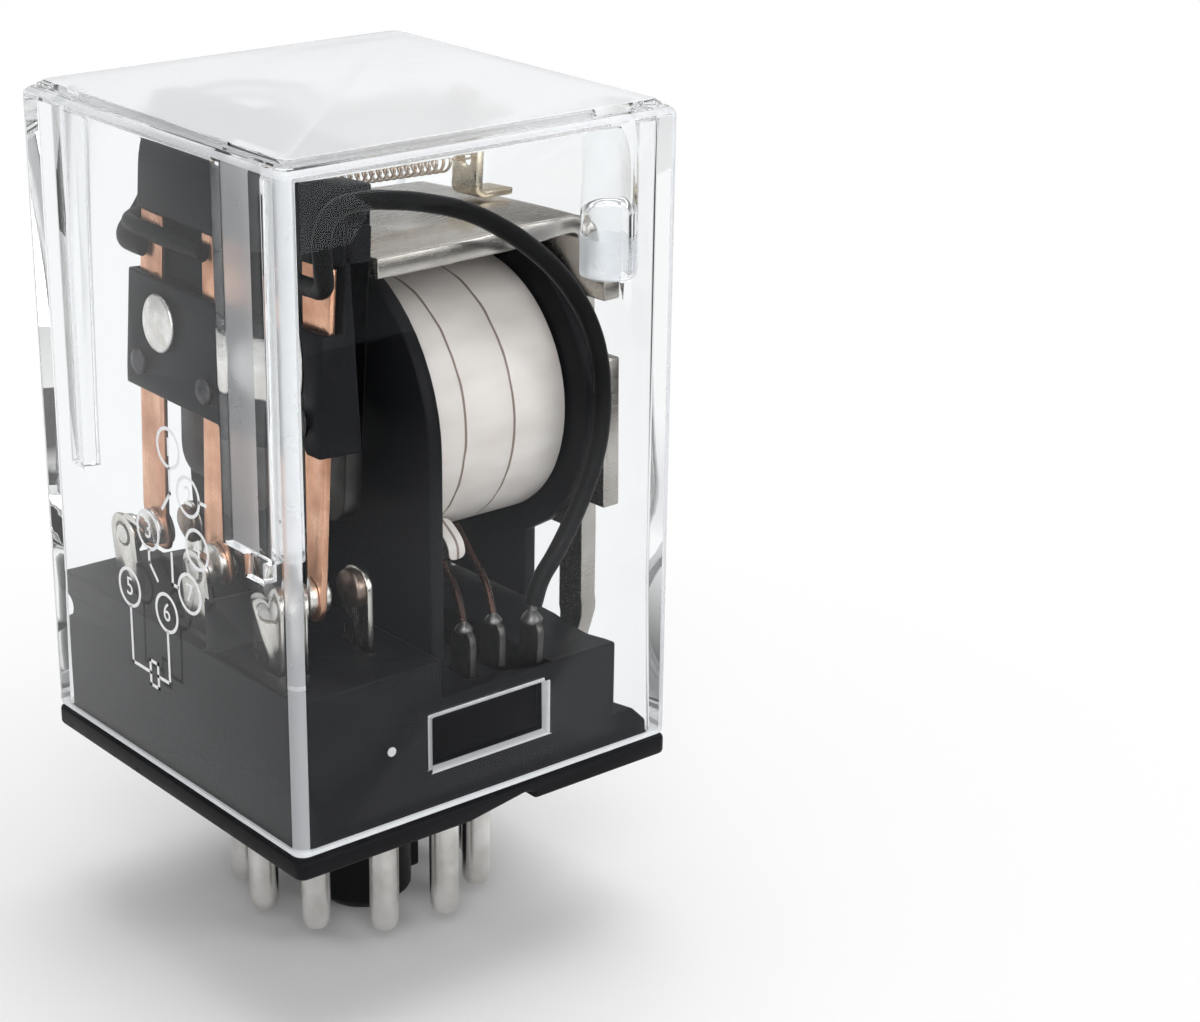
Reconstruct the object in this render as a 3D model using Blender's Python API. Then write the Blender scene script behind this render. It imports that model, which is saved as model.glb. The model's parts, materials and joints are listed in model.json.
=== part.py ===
# Plug-in control relay: eleven pin base, clear clip-on cover, clapper armature and three changeover poles.
# Frame: origin on the plug axis in the plane where the base seats on its socket, +Z up.
# -X is the contact side, +X the yoke side, -Y the side with the snap window seen in the photo.

import math

import bmesh
import bpy
from mathutils import Matrix, Vector

MM = 0.001

# Clearance kept between faces that seat on each other
GAP = 0.3 * MM

# Clear cover
COVER_WIDTH = 35.0 * MM
COVER_HEIGHT = 50.95 * MM
COVER_WALL = 1.3 * MM
COVER_TOP = 1.5 * MM
COVER_CORNER = 1.2 * MM
COVER_STEP_HEIGHT = 0.55 * MM
COVER_STEP_INSET = 0.8 * MM
COVER_FOOT_HEIGHT = 13.5 * MM
COVER_FOOT_RELIEF = 0.25 * MM
WINDOW_WIDTH = 11.0 * MM
WINDOW_HEIGHT = 4.4 * MM
WINDOW_BOTTOM = 5.2 * MM
LUG_CLEARANCE = 0.4 * MM
GUIDE_RIB_DEPTH = 1.6 * MM
GUIDE_RIB_RISE = 5.1 * MM
FRONT_RIB_MARGIN = 4.8 * MM
FRONT_RIB_WIDTH = 5.2 * MM
RIB_TONGUE_WIDTH = 2.0 * MM
RIB_TONGUE_DROP = 3.0 * MM
RIB_TONGUE_SHIFT = 1.1 * MM
REAR_RIB_MARGIN = 3.4 * MM
REAR_RIB_WIDTH = 1.6 * MM
CORNER_POST_RADIUS = 2.5 * MM
CORNER_POST_DROP = 3.6 * MM

# Moulded base and its plug
FLANGE_THICKNESS = 1.5 * MM
PLUG_TOP = 4.4 * MM
BLOCK_TOP = 10.6 * MM
CONTACT_BLOCK_DROP = 4.6 * MM
PLUG_CLEARANCE = 0.35 * MM
BARRIER_RISE = 4.0 * MM
BARRIER_THICKNESS = 1.0 * MM
BLOCK_CORNER_ROOM = 1.35 * MM
SLOT_DEPTH = 3.0 * MM
PRY_NOTCH_WIDTH = 6.2 * MM
PRY_NOTCH_HEIGHT = 0.8 * MM
SIDE_GROOVE_RADIUS = 0.9 * MM
GUIDE_POST_RADIUS = 4.0 * MM
GUIDE_POST_LENGTH = 14.0 * MM
GUIDE_KEY_WIDTH = 1.6 * MM
GUIDE_KEY_REACH = 1.2 * MM

# Plug pins
PIN_COUNT = 11
PIN_RADIUS = 1.18 * MM
PIN_CIRCLE_RADIUS = 9.525 * MM
PIN_LENGTH = 12.2 * MM
PIN_ROOT = 4.4 * MM

# Coil, bobbin and core
CONTACT_BAY = 13.8 * MM
TAPE_RADIUS = 10.6 * MM
TAPE_THICKNESS = 0.3 * MM
CORE_RADIUS = 4.0 * MM
CORE_TENON_RADIUS = 2.5 * MM
POLE_SHOE_RADIUS = 5.2 * MM
POLE_SHOE_THICKNESS = 1.0 * MM
BOBBIN_WALL = 1.2 * MM
BOBBIN_TUBE_WALL = 0.9 * MM
FRONT_FLANGE_CLEARANCE = 1.9 * MM
REAR_FLANGE_CLEARANCE = 0.7 * MM
REAR_FLANGE_FOOT = 10.0 * MM

# Yoke
YOKE_THICKNESS = 1.6 * MM
YOKE_WIDTH = 20.0 * MM
YOKE_HEADROOM = 8.15 * MM
YOKE_RISE = 13.0 * MM
YOKE_EAR_WIDTH = 25.5 * MM
YOKE_EAR_RISE = 3.8 * MM
YOKE_EAR_DROP = 8.2 * MM
YOKE_TAB_RISE = 8.4 * MM
YOKE_TAB_HEIGHT = 1.7 * MM
YOKE_LEG_WIDTH = 2.7 * MM
YOKE_ARCH_DROP = 11.0 * MM
YOKE_BEND = 0.8 * MM
YOKE_WALL_CLEARANCE = 0.45 * MM
REAR_FLANGE_GAP = 0.55 * MM

# Armature and contact carrier
ARMATURE_THICKNESS = 1.5 * MM
ARMATURE_SIDE = 3.0 * MM
ARMATURE_TAIL_WIDTH = 6.4 * MM
ARMATURE_TAIL_RISE = 5.6 * MM
ARMATURE_MARGIN = 0.4 * MM
ARMATURE_CORNER = 2.0 * MM
ARMATURE_NECK = 0.8 * MM
ARMATURE_OPENING = 0.88 * MM
CARRIER_SIDE_ROOM = 4.1 * MM
CARRIER_CHEEK = 0.4 * MM
CARRIER_WALL = 2.0 * MM
CARRIER_BAR = 0.7 * MM
CARRIER_BAR_HEIGHT = 9.1 * MM
CARRIER_DROP = 13.7 * MM
HOOD_LENGTH = 3.9 * MM
HOOD_HEIGHT = 5.7 * MM
HOOD_ROUND = 2.4 * MM
HOOD_CORNER = 1.9 * MM
CARRIER_EAR = 0.6 * MM

# Three changeover poles
POLE_COUNT = 3
BLADE_WIDTH = 3.6 * MM
BLADE_THICKNESS = 0.5 * MM
BLADE_TAIL = 1.8 * MM
CONTACT_DROP = 4.7 * MM
CONTACT_RADIUS = 1.5 * MM
CONTACT_THICKNESS = 0.6 * MM
CONTACT_GAP = 0.35 * MM
CONTACT_SHANK = 0.7 * MM
TERMINAL_WIDTH = 3.4 * MM
TERMINAL_THICKNESS = 0.5 * MM
RIVET_HEAD_THICKNESS = 0.6 * MM
CARRIER_RIVET_HEAD = 2.5 * MM
CARRIER_RIVET_SHANK = 0.9 * MM
CARRIER_RIVET_ROOM = 0.4 * MM
CARRIER_RIVET_SETDOWN = 2.6 * MM
BLADE_RIVET_HEAD = 1.0 * MM
BLADE_RIVET_SHANK = 0.6 * MM
BLADE_RIVET_DROP = 4.4 * MM

# Solder lugs on the coil half of the base: across, along and above the block
LUG_WIDTH = 2.4 * MM
LUG_THICKNESS = 0.6 * MM
LUG_RISE = 3.4 * MM
COMMON_LUG_AHEAD = 0.6 * MM
MIDDLE_LUG_BEHIND = 4.0 * MM
COIL_LUG_BEHIND = 4.8 * MM
COIL_LUG_PITCH = 2.8 * MM
COIL_LUG_INSET = 1.4 * MM

# Return spring and the anchor that it hooks on
SPRING_RADIUS = 0.95 * MM
SPRING_WIRE = 0.26 * MM
SPRING_TAIL = 2.0 * MM
SPRING_TURNS = 18
SPRING_RISE = 4.1 * MM
HOOK_HOLE = 0.8 * MM
ANCHOR_THICKNESS = 0.7 * MM
ANCHOR_WIDTH = 3.2 * MM
ANCHOR_FOOT = 3.7 * MM
ANCHOR_RISE = 5.2 * MM
ANCHOR_SETBACK = 5.2 * MM

# Wires
LEAD_DIAMETER = 1.4 * MM
LEAD_WALL_ROOM = 2.0 * MM
COIL_WIRE_DIAMETER = 0.6 * MM
COIL_WIRE_ANGLE = 38.0

# Places that follow from the sizes above
COVER_BOTTOM = FLANGE_THICKNESS + GAP
COVER_CEILING = COVER_BOTTOM + COVER_HEIGHT - COVER_TOP
INNER_HALF = COVER_WIDTH / 2 - COVER_WALL
FOOT_HALF = INNER_HALF + COVER_FOOT_RELIEF
PLUG_HALF = FOOT_HALF - PLUG_CLEARANCE
LEAD_LANE = INNER_HALF - LEAD_WALL_ROOM
FRONT_RIB_Y = FRONT_RIB_MARGIN - INNER_HALF
REAR_RIB_Y = INNER_HALF - REAR_RIB_MARGIN
YOKE_TOP = COVER_CEILING - YOKE_HEADROOM
YOKE_BOTTOM = YOKE_TOP - YOKE_THICKNESS
YOKE_OUTER_X = INNER_HALF - YOKE_WALL_CLEARANCE
YOKE_INNER_X = YOKE_OUTER_X - YOKE_THICKNESS
BLOCK_END_X = YOKE_INNER_X - GAP
LUG_TOP = BLOCK_TOP + LUG_RISE
BLOCK_CORNER_X = YOKE_INNER_X - BLOCK_CORNER_ROOM
COIL_HEIGHT = YOKE_BOTTOM - YOKE_RISE
CORNER_POST_BOTTOM = YOKE_TOP - CORNER_POST_DROP
REAR_FLANGE_X = YOKE_INNER_X - REAR_FLANGE_GAP
COIL_END_X = REAR_FLANGE_X - BOBBIN_WALL
COIL_START_X = CONTACT_BAY - INNER_HALF
COIL_MIDDLE_X = (COIL_START_X + COIL_END_X) / 2
COIL_HALF_LENGTH = (COIL_END_X - COIL_START_X) / 2
FRONT_FLANGE_X = COIL_START_X - BOBBIN_WALL
FRONT_FLANGE_RADIUS = INNER_HALF - FRONT_FLANGE_CLEARANCE
REAR_FLANGE_RADIUS = LEAD_LANE - LEAD_DIAMETER / 2 - REAR_FLANGE_CLEARANCE
POLE_FACE_X = FRONT_FLANGE_X - GAP - POLE_SHOE_THICKNESS
CONTACT_BLOCK_END_X = FRONT_FLANGE_X - GAP
ARMATURE_FACE_X = POLE_FACE_X - GAP
ARMATURE_BACK_X = ARMATURE_FACE_X - ARMATURE_THICKNESS
ARMATURE_BOTTOM = COIL_HEIGHT - POLE_SHOE_RADIUS - ARMATURE_MARGIN
CARRIER_FACE_X = ARMATURE_BACK_X - GAP
CARRIER_WALL_X = CARRIER_FACE_X - CARRIER_WALL
BLADE_X = CARRIER_WALL_X - GAP - BLADE_THICKNESS
BAR_BACK_X = BLADE_X - GAP
BAR_FRONT_X = BAR_BACK_X - CARRIER_BAR
HOOD_FRONT_X = CARRIER_FACE_X - HOOD_LENGTH
CARRIER_HALF = INNER_HALF - CARRIER_SIDE_ROOM
CARRIER_BOTTOM = YOKE_TOP - CARRIER_DROP
BAR_TOP = CARRIER_BOTTOM + CARRIER_BAR_HEIGHT
HOOD_BOTTOM = YOKE_TOP + GAP
HOOD_TOP = HOOD_BOTTOM + HOOD_HEIGHT
CONTACT_HEIGHT = ARMATURE_BOTTOM - CONTACT_DROP
CONTACT_BLOCK_TOP = CONTACT_HEIGHT - CONTACT_BLOCK_DROP
BARRIER_TOP = CONTACT_BLOCK_TOP + BARRIER_RISE
GUIDE_RIB_BOTTOM = CONTACT_HEIGHT + GUIDE_RIB_RISE
BLADE_BOTTOM = CONTACT_HEIGHT - BLADE_TAIL
BLADE_TOP = HOOD_BOTTOM - GAP
CARRIER_RIVET_HEIGHT = BAR_TOP - CARRIER_RIVET_SETDOWN
BLADE_RIVET_HEIGHT = CARRIER_RIVET_HEIGHT - BLADE_RIVET_DROP
SPRING_HEIGHT = YOKE_TOP + SPRING_RISE
HINGE = Vector(((POLE_FACE_X + ARMATURE_FACE_X) / 2, 0.0, YOKE_TOP))
REST_TILT = math.atan2(ARMATURE_OPENING, YOKE_TOP - COIL_HEIGHT)
OUTER_POLE = CARRIER_HALF - CARRIER_CHEEK - GAP - BLADE_WIDTH / 2
POLES = [OUTER_POLE * (2 * number / (POLE_COUNT - 1) - 1) for number in range(POLE_COUNT)]
CARRIER_RIVET_Y = OUTER_POLE - BLADE_WIDTH / 2 - CARRIER_RIVET_SHANK - CARRIER_RIVET_ROOM
COMMON_LUG_X = COIL_MIDDLE_X + COMMON_LUG_AHEAD
MIDDLE_LUG_X = COIL_MIDDLE_X - MIDDLE_LUG_BEHIND
COIL_LUG_X = COIL_MIDDLE_X - COIL_LUG_BEHIND
COIL_LUG_Y = LEAD_LANE - COIL_LUG_INSET

# Half thickness of a blade with its contact rivet, and the two fixed contacts that it works between
MOVING_CONTACT_REACH = BLADE_THICKNESS / 2 + GAP + CONTACT_THICKNESS
BLADE_MIDDLE_X = BLADE_X + BLADE_THICKNESS / 2
CONTACT_TRAVEL = math.sin(REST_TILT) * (YOKE_TOP - CONTACT_HEIGHT)
CLOSED_FACE_X = BLADE_MIDDLE_X + MOVING_CONTACT_REACH + CONTACT_GAP
OPEN_FACE_X = BLADE_MIDDLE_X - CONTACT_TRAVEL - MOVING_CONTACT_REACH - CONTACT_GAP
CLOSED_TERMINAL_X = CLOSED_FACE_X + CONTACT_THICKNESS + GAP
OPEN_TERMINAL_X = OPEN_FACE_X - CONTACT_THICKNESS - GAP - TERMINAL_THICKNESS
ANCHOR_X = YOKE_OUTER_X - ANCHOR_SETBACK


# Finishes: every sub-part gets a material of its own from one of these
FINISHES = {
    "clear": {"color": (0.93, 0.95, 0.97), "roughness": 0.06, "transmission": 1.0},
    "black": {"color": (0.022, 0.023, 0.026), "roughness": 0.45},
    "nickel": {"color": (0.74, 0.73, 0.70), "roughness": 0.28, "metallic": 1.0},
    "copper": {"color": (0.80, 0.47, 0.32), "roughness": 0.35, "metallic": 1.0},
    "silver": {"color": (0.86, 0.86, 0.85), "roughness": 0.30, "metallic": 1.0},
    "dark_steel": {"color": (0.06, 0.06, 0.065), "roughness": 0.40, "metallic": 1.0},
    "tape": {"color": (0.86, 0.82, 0.75), "roughness": 0.55},
    "winding": {"color": (0.52, 0.21, 0.09), "roughness": 0.38, "metallic": 0.6},
    "sleeve": {"color": (0.018, 0.018, 0.020), "roughness": 0.40},
    "spring": {"color": (0.70, 0.69, 0.66), "roughness": 0.30, "metallic": 1.0},
    "brass": {"color": (0.72, 0.66, 0.52), "roughness": 0.30, "metallic": 1.0},
}


def clear_scene():
    for existing in list(bpy.data.objects):
        bpy.data.objects.remove(existing, do_unlink=True)


def make_material(name, color, roughness, metallic=0.0, transmission=0.0):
    material = bpy.data.materials.new(name)
    material.use_nodes = True
    shader = material.node_tree.nodes["Principled BSDF"]
    shader.inputs["Base Color"].default_value = (*color, 1.0)
    shader.inputs["Roughness"].default_value = roughness
    shader.inputs["Metallic"].default_value = metallic
    shader.inputs["Transmission Weight"].default_value = transmission
    return material


def link_shape(name, shape, parent=None):
    mesh = bpy.data.meshes.new(name)
    bmesh.ops.recalc_face_normals(shape, faces=shape.faces)
    shape.to_mesh(mesh)
    shape.free()
    made = bpy.data.objects.new(name, mesh)
    bpy.context.scene.collection.objects.link(made)
    made.parent = parent
    return made


def add_object(name, shape, finish, parent=None):
    made = link_shape(name, shape, parent)
    made.data.materials.append(make_material(name, **FINISHES[finish]))
    return made


def smooth(made, angle=35.0):
    made.data.shade_smooth()
    made.data.set_sharp_from_angle(angle=math.radians(angle))


def combine(made, tools, operation):
    # Joins or cuts with one or more closed tool shapes, then keeps the finished mesh
    for tool in tools:
        cutter = link_shape(made.name + "_tool", tool, made.parent)
        cutter.hide_render = True
        cutter.display_type = 'WIRE'
        modifier = made.modifiers.new("shape", 'BOOLEAN')
        modifier.operation = operation
        modifier.solver = 'EXACT'
        modifier.object = cutter
        bpy.context.view_layer.update()
        evaluated = made.evaluated_get(bpy.context.evaluated_depsgraph_get())
        finished = bpy.data.meshes.new_from_object(evaluated)
        made.modifiers.remove(modifier)
        old = made.data
        made.data = finished
        bpy.data.objects.remove(cutter, do_unlink=True)
        bpy.data.meshes.remove(old)
        made.data.name = made.name


def merge_shapes(shapes):
    # Several separate closed bodies in one mesh, to be used together as a tool
    merged = bmesh.new()
    for shape in shapes:
        carrier = bpy.data.meshes.new("tool")
        bmesh.ops.recalc_face_normals(shape, faces=shape.faces)
        shape.to_mesh(carrier)
        shape.free()
        merged.from_mesh(carrier)
        bpy.data.meshes.remove(carrier)
    return merged


def arc(center_u, center_v, radius, start, end, steps):
    points = []
    for step in range(steps + 1):
        angle = math.radians(start + (end - start) * step / steps)
        points.append((center_u + radius * math.cos(angle), center_v + radius * math.sin(angle)))
    return points


def rounded_rectangle(half_u, half_v, radius, steps=4):
    u = half_u - radius
    v = half_v - radius
    return (arc(u, v, radius, 0, 90, steps) + arc(-u, v, radius, 90, 180, steps)
            + arc(-u, -v, radius, 180, 270, steps) + arc(u, -v, radius, 270, 360, steps))


def rectangle(low_u, low_v, high_u, high_v):
    return [(low_u, low_v), (high_u, low_v), (high_u, high_v), (low_u, high_v)]


def place(axis, u, v, along):
    # A point of an outline: u and v are the two other axes in X, Y, Z order
    if axis == "X":
        return Vector((along, u, v))
    if axis == "Y":
        return Vector((u, along, v))
    return Vector((u, v, along))


def prism(outline, axis, low, high):
    shape = bmesh.new()
    corners = [shape.verts.new(place(axis, u, v, low)) for u, v in outline]
    face = shape.faces.new(corners)
    grown = bmesh.ops.extrude_face_region(shape, geom=[face])
    moved = [item for item in grown["geom"] if isinstance(item, bmesh.types.BMVert)]
    bmesh.ops.translate(shape, verts=moved, vec=place(axis, 0.0, 0.0, high - low))
    return shape


def block(low, high):
    return prism(rectangle(low[0], low[1], high[0], high[1]), "Z", low[2], high[2])


def turned(profile, axis, center_u, center_v, sides):
    # A turned shape from (radius, position) pairs along the axis; a zero radius closes an end
    shape = bmesh.new()
    rings = []
    for radius, along in profile:
        count = sides if radius > 0.0 else 1
        ring = []
        for side in range(count):
            angle = 2 * math.pi * side / sides
            u = center_u + radius * math.cos(angle)
            v = center_v + radius * math.sin(angle)
            ring.append(shape.verts.new(place(axis, u, v, along)))
        rings.append(ring)
    for first, second in zip(rings, rings[1:]):
        for side in range(sides):
            after = (side + 1) % sides
            corners = [first[side % len(first)], first[after % len(first)],
                       second[after % len(second)], second[side % len(second)]]
            shape.faces.new(list(dict.fromkeys(corners)))
    return shape


def cylinder(radius, axis, center_u, center_v, low, high, sides):
    return turned([(0.0, low), (radius, low), (radius, high), (0.0, high)], axis, center_u, center_v, sides)


def sleeve(inner, outer, low, high, sides):
    # A tube about the coil axis, closed on itself
    shape = bmesh.new()
    rings = []
    for radius, along in ((inner, low), (outer, low), (outer, high), (inner, high)):
        ring = []
        for side in range(sides):
            angle = 2 * math.pi * side / sides
            ring.append(shape.verts.new((along, radius * math.cos(angle),
                                         COIL_HEIGHT + radius * math.sin(angle))))
        rings.append(ring)
    for number, first in enumerate(rings):
        second = rings[(number + 1) % len(rings)]
        for side in range(sides):
            after = (side + 1) % sides
            shape.faces.new((first[side], first[after], second[after], second[side]))
    return shape


def loft(rings):
    # Rings of equal count, bridged in turn and closed with a face at both ends
    shape = bmesh.new()
    loops = [[shape.verts.new(point) for point in ring] for ring in rings]
    for first, second in zip(loops, loops[1:]):
        for number in range(len(first)):
            after = (number + 1) % len(first)
            shape.faces.new((first[number], first[after], second[after], second[number]))
    shape.faces.new(loops[0])
    shape.faces.new(loops[-1])
    return shape


def to_hinge(shape):
    # Pieces that swing are drawn in the pulled-in position and stored about the hinge edge
    bmesh.ops.translate(shape, verts=shape.verts, vec=-HINGE)
    return shape


def smooth_route(points, spacing):
    # Evenly spaced points on a smooth curve through the route's own points
    dense = []
    for number in range(len(points) - 1):
        before = points[max(number - 1, 0)]
        start = points[number]
        end = points[number + 1]
        behind = points[min(number + 2, len(points) - 1)]
        for step in range(24):
            t = step / 24
            dense.append(0.5 * (2 * start + (end - before) * t
                                + (2 * before - 5 * start + 4 * end - behind) * t ** 2
                                + (3 * start - before - 3 * end + behind) * t ** 3))
    dense.append(points[-1])
    total = sum((b - a).length for a, b in zip(dense, dense[1:]))
    count = max(2, round(total / spacing))
    kept = [dense[0]]
    travelled = 0.0
    for a, b in zip(dense, dense[1:]):
        step = (b - a).length
        while len(kept) < count and travelled + step >= total * len(kept) / count:
            share = (total * len(kept) / count - travelled) / step
            kept.append(a.lerp(b, share))
        travelled += step
    if len(kept) == count:
        kept.append(dense[-1])
    return kept


def add_wire(name, points, diameter, finish, resolution):
    curve = bpy.data.curves.new(name, 'CURVE')
    curve.dimensions = '3D'
    curve.bevel_depth = diameter / 2
    curve.bevel_resolution = resolution
    curve.use_fill_caps = True
    curve.twist_mode = 'MINIMUM'
    spline = curve.splines.new('POLY')
    spline.points.add(len(points) - 1)
    for point, target in zip(spline.points, points):
        point.co = (*target, 1.0)
    curve.materials.append(make_material(name, **FINISHES[finish]))
    made = bpy.data.objects.new(name, curve)
    bpy.context.scene.collection.objects.link(made)
    return made


def cover_rings():
    half = COVER_WIDTH / 2
    top = COVER_BOTTOM + COVER_HEIGHT
    foot_top = COVER_BOTTOM + COVER_FOOT_HEIGHT
    step = half - COVER_STEP_INSET
    inner_corner = COVER_CORNER / 2
    levels = [
        (INNER_HALF, inner_corner, COVER_CEILING),
        (INNER_HALF, inner_corner, foot_top),
        (FOOT_HALF, inner_corner, foot_top),
        (FOOT_HALF, inner_corner, COVER_BOTTOM),
        (half, COVER_CORNER, COVER_BOTTOM),
        (half, COVER_CORNER, top - COVER_STEP_HEIGHT - COVER_STEP_INSET / 2),
        (half - COVER_STEP_INSET / 2, COVER_CORNER, top - COVER_STEP_HEIGHT),
        (step, COVER_CORNER, top - COVER_STEP_HEIGHT),
        (step, COVER_CORNER, top - COVER_STEP_INSET / 2),
        (step - COVER_STEP_INSET / 2, COVER_CORNER, top),
    ]
    rings = []
    for reach, corner, height in levels:
        rings.append([Vector((x, y, height)) for x, y in rounded_rectangle(reach, reach, corner)])
    return rings


def build_cover():
    cover = add_object("cover", loft(cover_rings()), "clear")
    sunk = COVER_WALL / 2
    wall_x = -INNER_HALF - sunk
    rib_x = -INNER_HALF + GUIDE_RIB_DEPTH
    roof = COVER_CEILING + COVER_TOP / 2
    front_rib = block((wall_x, FRONT_RIB_Y - FRONT_RIB_WIDTH / 2, GUIDE_RIB_BOTTOM),
                      (rib_x, FRONT_RIB_Y + FRONT_RIB_WIDTH / 2, roof))
    tongue_y = FRONT_RIB_Y - RIB_TONGUE_SHIFT
    tongue = block((wall_x, tongue_y - RIB_TONGUE_WIDTH / 2, GUIDE_RIB_BOTTOM - RIB_TONGUE_DROP),
                   (rib_x - GUIDE_RIB_DEPTH / 3, tongue_y + RIB_TONGUE_WIDTH / 2, roof))
    rear_rib = block((wall_x, REAR_RIB_Y - REAR_RIB_WIDTH / 2, GUIDE_RIB_BOTTOM),
                     (rib_x, REAR_RIB_Y + REAR_RIB_WIDTH / 2, roof))
    post = INNER_HALF - 0.8 * CORNER_POST_RADIUS
    tip = CORNER_POST_BOTTOM
    corner_post = turned([(0.0, tip), (0.6 * CORNER_POST_RADIUS, tip + 0.25 * CORNER_POST_RADIUS),
                          (CORNER_POST_RADIUS, tip + CORNER_POST_RADIUS), (CORNER_POST_RADIUS, roof),
                          (0.0, roof)], "Z", post, -post, 20)
    combine(cover, [front_rib, tongue, rear_rib, corner_post], 'UNION')
    reach = COVER_WIDTH
    window = block((-WINDOW_WIDTH / 2, -reach, WINDOW_BOTTOM),
                   (WINDOW_WIDTH / 2, reach, WINDOW_BOTTOM + WINDOW_HEIGHT))
    combine(cover, [window], 'DIFFERENCE')
    smooth(cover)
    return cover


def terminal_slots():
    # One slot in the base for each terminal strip and solder lug, open at the top
    slots = []
    half = TERMINAL_WIDTH / 2 + GAP
    floor = CONTACT_BLOCK_TOP - SLOT_DEPTH
    for pole in POLES:
        for x in (OPEN_TERMINAL_X, CLOSED_TERMINAL_X):
            slots.append(block((x - GAP, pole - half, floor),
                               (x + TERMINAL_THICKNESS + GAP, pole + half, CONTACT_BLOCK_TOP + GAP)))
    half = LUG_WIDTH / 2 + GAP
    floor = BLOCK_TOP - SLOT_DEPTH
    for x, y in lug_places().values():
        slots.append(block((x - GAP, y - half, floor),
                           (x + LUG_THICKNESS + GAP, y + half, BLOCK_TOP + GAP)))
    return slots


def lug_places():
    return {
        "common_lug_1": (COMMON_LUG_X, -LEAD_LANE),
        "common_lug_2": (MIDDLE_LUG_X, LEAD_LANE),
        "common_lug_3": (COMMON_LUG_X, LEAD_LANE),
        "coil_lug_1": (COIL_LUG_X, -COIL_LUG_Y),
        "coil_lug_2": (COIL_LUG_X + COIL_LUG_PITCH, -COIL_LUG_Y),
    }


def pin_places():
    places = []
    for number in range(PIN_COUNT):
        angle = math.pi + 2 * math.pi * number / PIN_COUNT
        places.append((PIN_CIRCLE_RADIUS * math.cos(angle), PIN_CIRCLE_RADIUS * math.sin(angle)))
    return places


def build_base():
    half = COVER_WIDTH / 2
    flange = prism(rounded_rectangle(half, half, COVER_CORNER), "Z", 0.0, FLANGE_THICKNESS)
    base = add_object("base", flange, "black")
    sunk = FLANGE_THICKNESS / 2
    slope = (PLUG_TOP - FLANGE_THICKNESS) / 2
    steps = [(-PLUG_HALF, sunk), (PLUG_HALF, sunk), (PLUG_HALF, PLUG_TOP - slope),
             (PLUG_HALF - slope, PLUG_TOP), (BLOCK_CORNER_X, PLUG_TOP), (BLOCK_CORNER_X, BLOCK_TOP),
             (CONTACT_BLOCK_END_X, BLOCK_TOP), (CONTACT_BLOCK_END_X, CONTACT_BLOCK_TOP),
             (-PLUG_HALF, CONTACT_BLOCK_TOP)]
    foot = REAR_FLANGE_FOOT / 2
    added = [prism(steps, "Y", -PLUG_HALF, PLUG_HALF),
             block((BLOCK_CORNER_X - sunk, -foot, PLUG_TOP - sunk), (BLOCK_END_X, foot, BLOCK_TOP))]
    for pole, after in zip(POLES, POLES[1:]):
        middle = (pole + after) / 2
        added.append(block((-INNER_HALF + GAP, middle - BARRIER_THICKNESS / 2, CONTACT_BLOCK_TOP - sunk),
                           (CLOSED_TERMINAL_X, middle + BARRIER_THICKNESS / 2, BARRIER_TOP)))
    for side in (-1, 1):
        near, far = sorted((side * (PLUG_HALF - sunk), side * (half - LUG_CLEARANCE)))
        lug_half = WINDOW_WIDTH / 2 - LUG_CLEARANCE
        lug_top = WINDOW_BOTTOM + WINDOW_HEIGHT - LUG_CLEARANCE
        added.append(block((-lug_half, near, WINDOW_BOTTOM + LUG_CLEARANCE), (lug_half, far, lug_top)))
    chamfer = GUIDE_POST_RADIUS / 4
    added.append(turned([(0.0, -GUIDE_POST_LENGTH), (GUIDE_POST_RADIUS - chamfer, -GUIDE_POST_LENGTH),
                         (GUIDE_POST_RADIUS, chamfer - GUIDE_POST_LENGTH), (GUIDE_POST_RADIUS, sunk),
                         (0.0, sunk)], "Z", 0.0, 0.0, 24))
    added.append(block((GUIDE_POST_RADIUS / 2, -GUIDE_KEY_WIDTH / 2, chamfer - GUIDE_POST_LENGTH),
                       (GUIDE_POST_RADIUS + GUIDE_KEY_REACH, GUIDE_KEY_WIDTH / 2, sunk)))
    combine(base, added, 'UNION')
    holes = [cylinder(PIN_RADIUS + GAP, "Z", x, y, -FLANGE_THICKNESS, PIN_ROOT + GAP, 12)
             for x, y in pin_places()]
    combine(base, [merge_shapes(holes + terminal_slots())], 'DIFFERENCE')
    pry = [(-PRY_NOTCH_WIDTH / 3, -sunk), (PRY_NOTCH_WIDTH * 2 / 3, -sunk),
           (PRY_NOTCH_WIDTH * 2 / 3, PRY_NOTCH_HEIGHT * 0.75), (PRY_NOTCH_WIDTH / 2, PRY_NOTCH_HEIGHT),
           (PRY_NOTCH_WIDTH / 6, PRY_NOTCH_HEIGHT * 0.6), (-PRY_NOTCH_WIDTH / 3, 0.0)]
    notches = [prism(pry, "Y", -half - GAP, -half + 2 * FLANGE_THICKNESS),
               prism(pry, "Y", half - 2 * FLANGE_THICKNESS, half + GAP)]
    groove = cylinder(SIDE_GROOVE_RADIUS, "X", PLUG_HALF, BLOCK_TOP, -COVER_WIDTH / 2, COIL_START_X, 12)
    combine(base, [merge_shapes(notches), groove], 'DIFFERENCE')
    smooth(base)
    return base


def build_pins():
    tip = PIN_RADIUS * 0.9
    profile = [(0.0, -PIN_LENGTH), (PIN_RADIUS * 0.5, -PIN_LENGTH + tip * 0.14),
               (PIN_RADIUS * 0.87, -PIN_LENGTH + tip * 0.5), (PIN_RADIUS, -PIN_LENGTH + tip),
               (PIN_RADIUS, PIN_ROOT), (0.0, PIN_ROOT)]
    for number, (x, y) in enumerate(pin_places(), start=1):
        pin = add_object(f"pin_{number:02d}", turned(profile, "Z", 0.0, 0.0, 16), "nickel")
        pin.location = (x, y, 0.0)
        smooth(pin)


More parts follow.
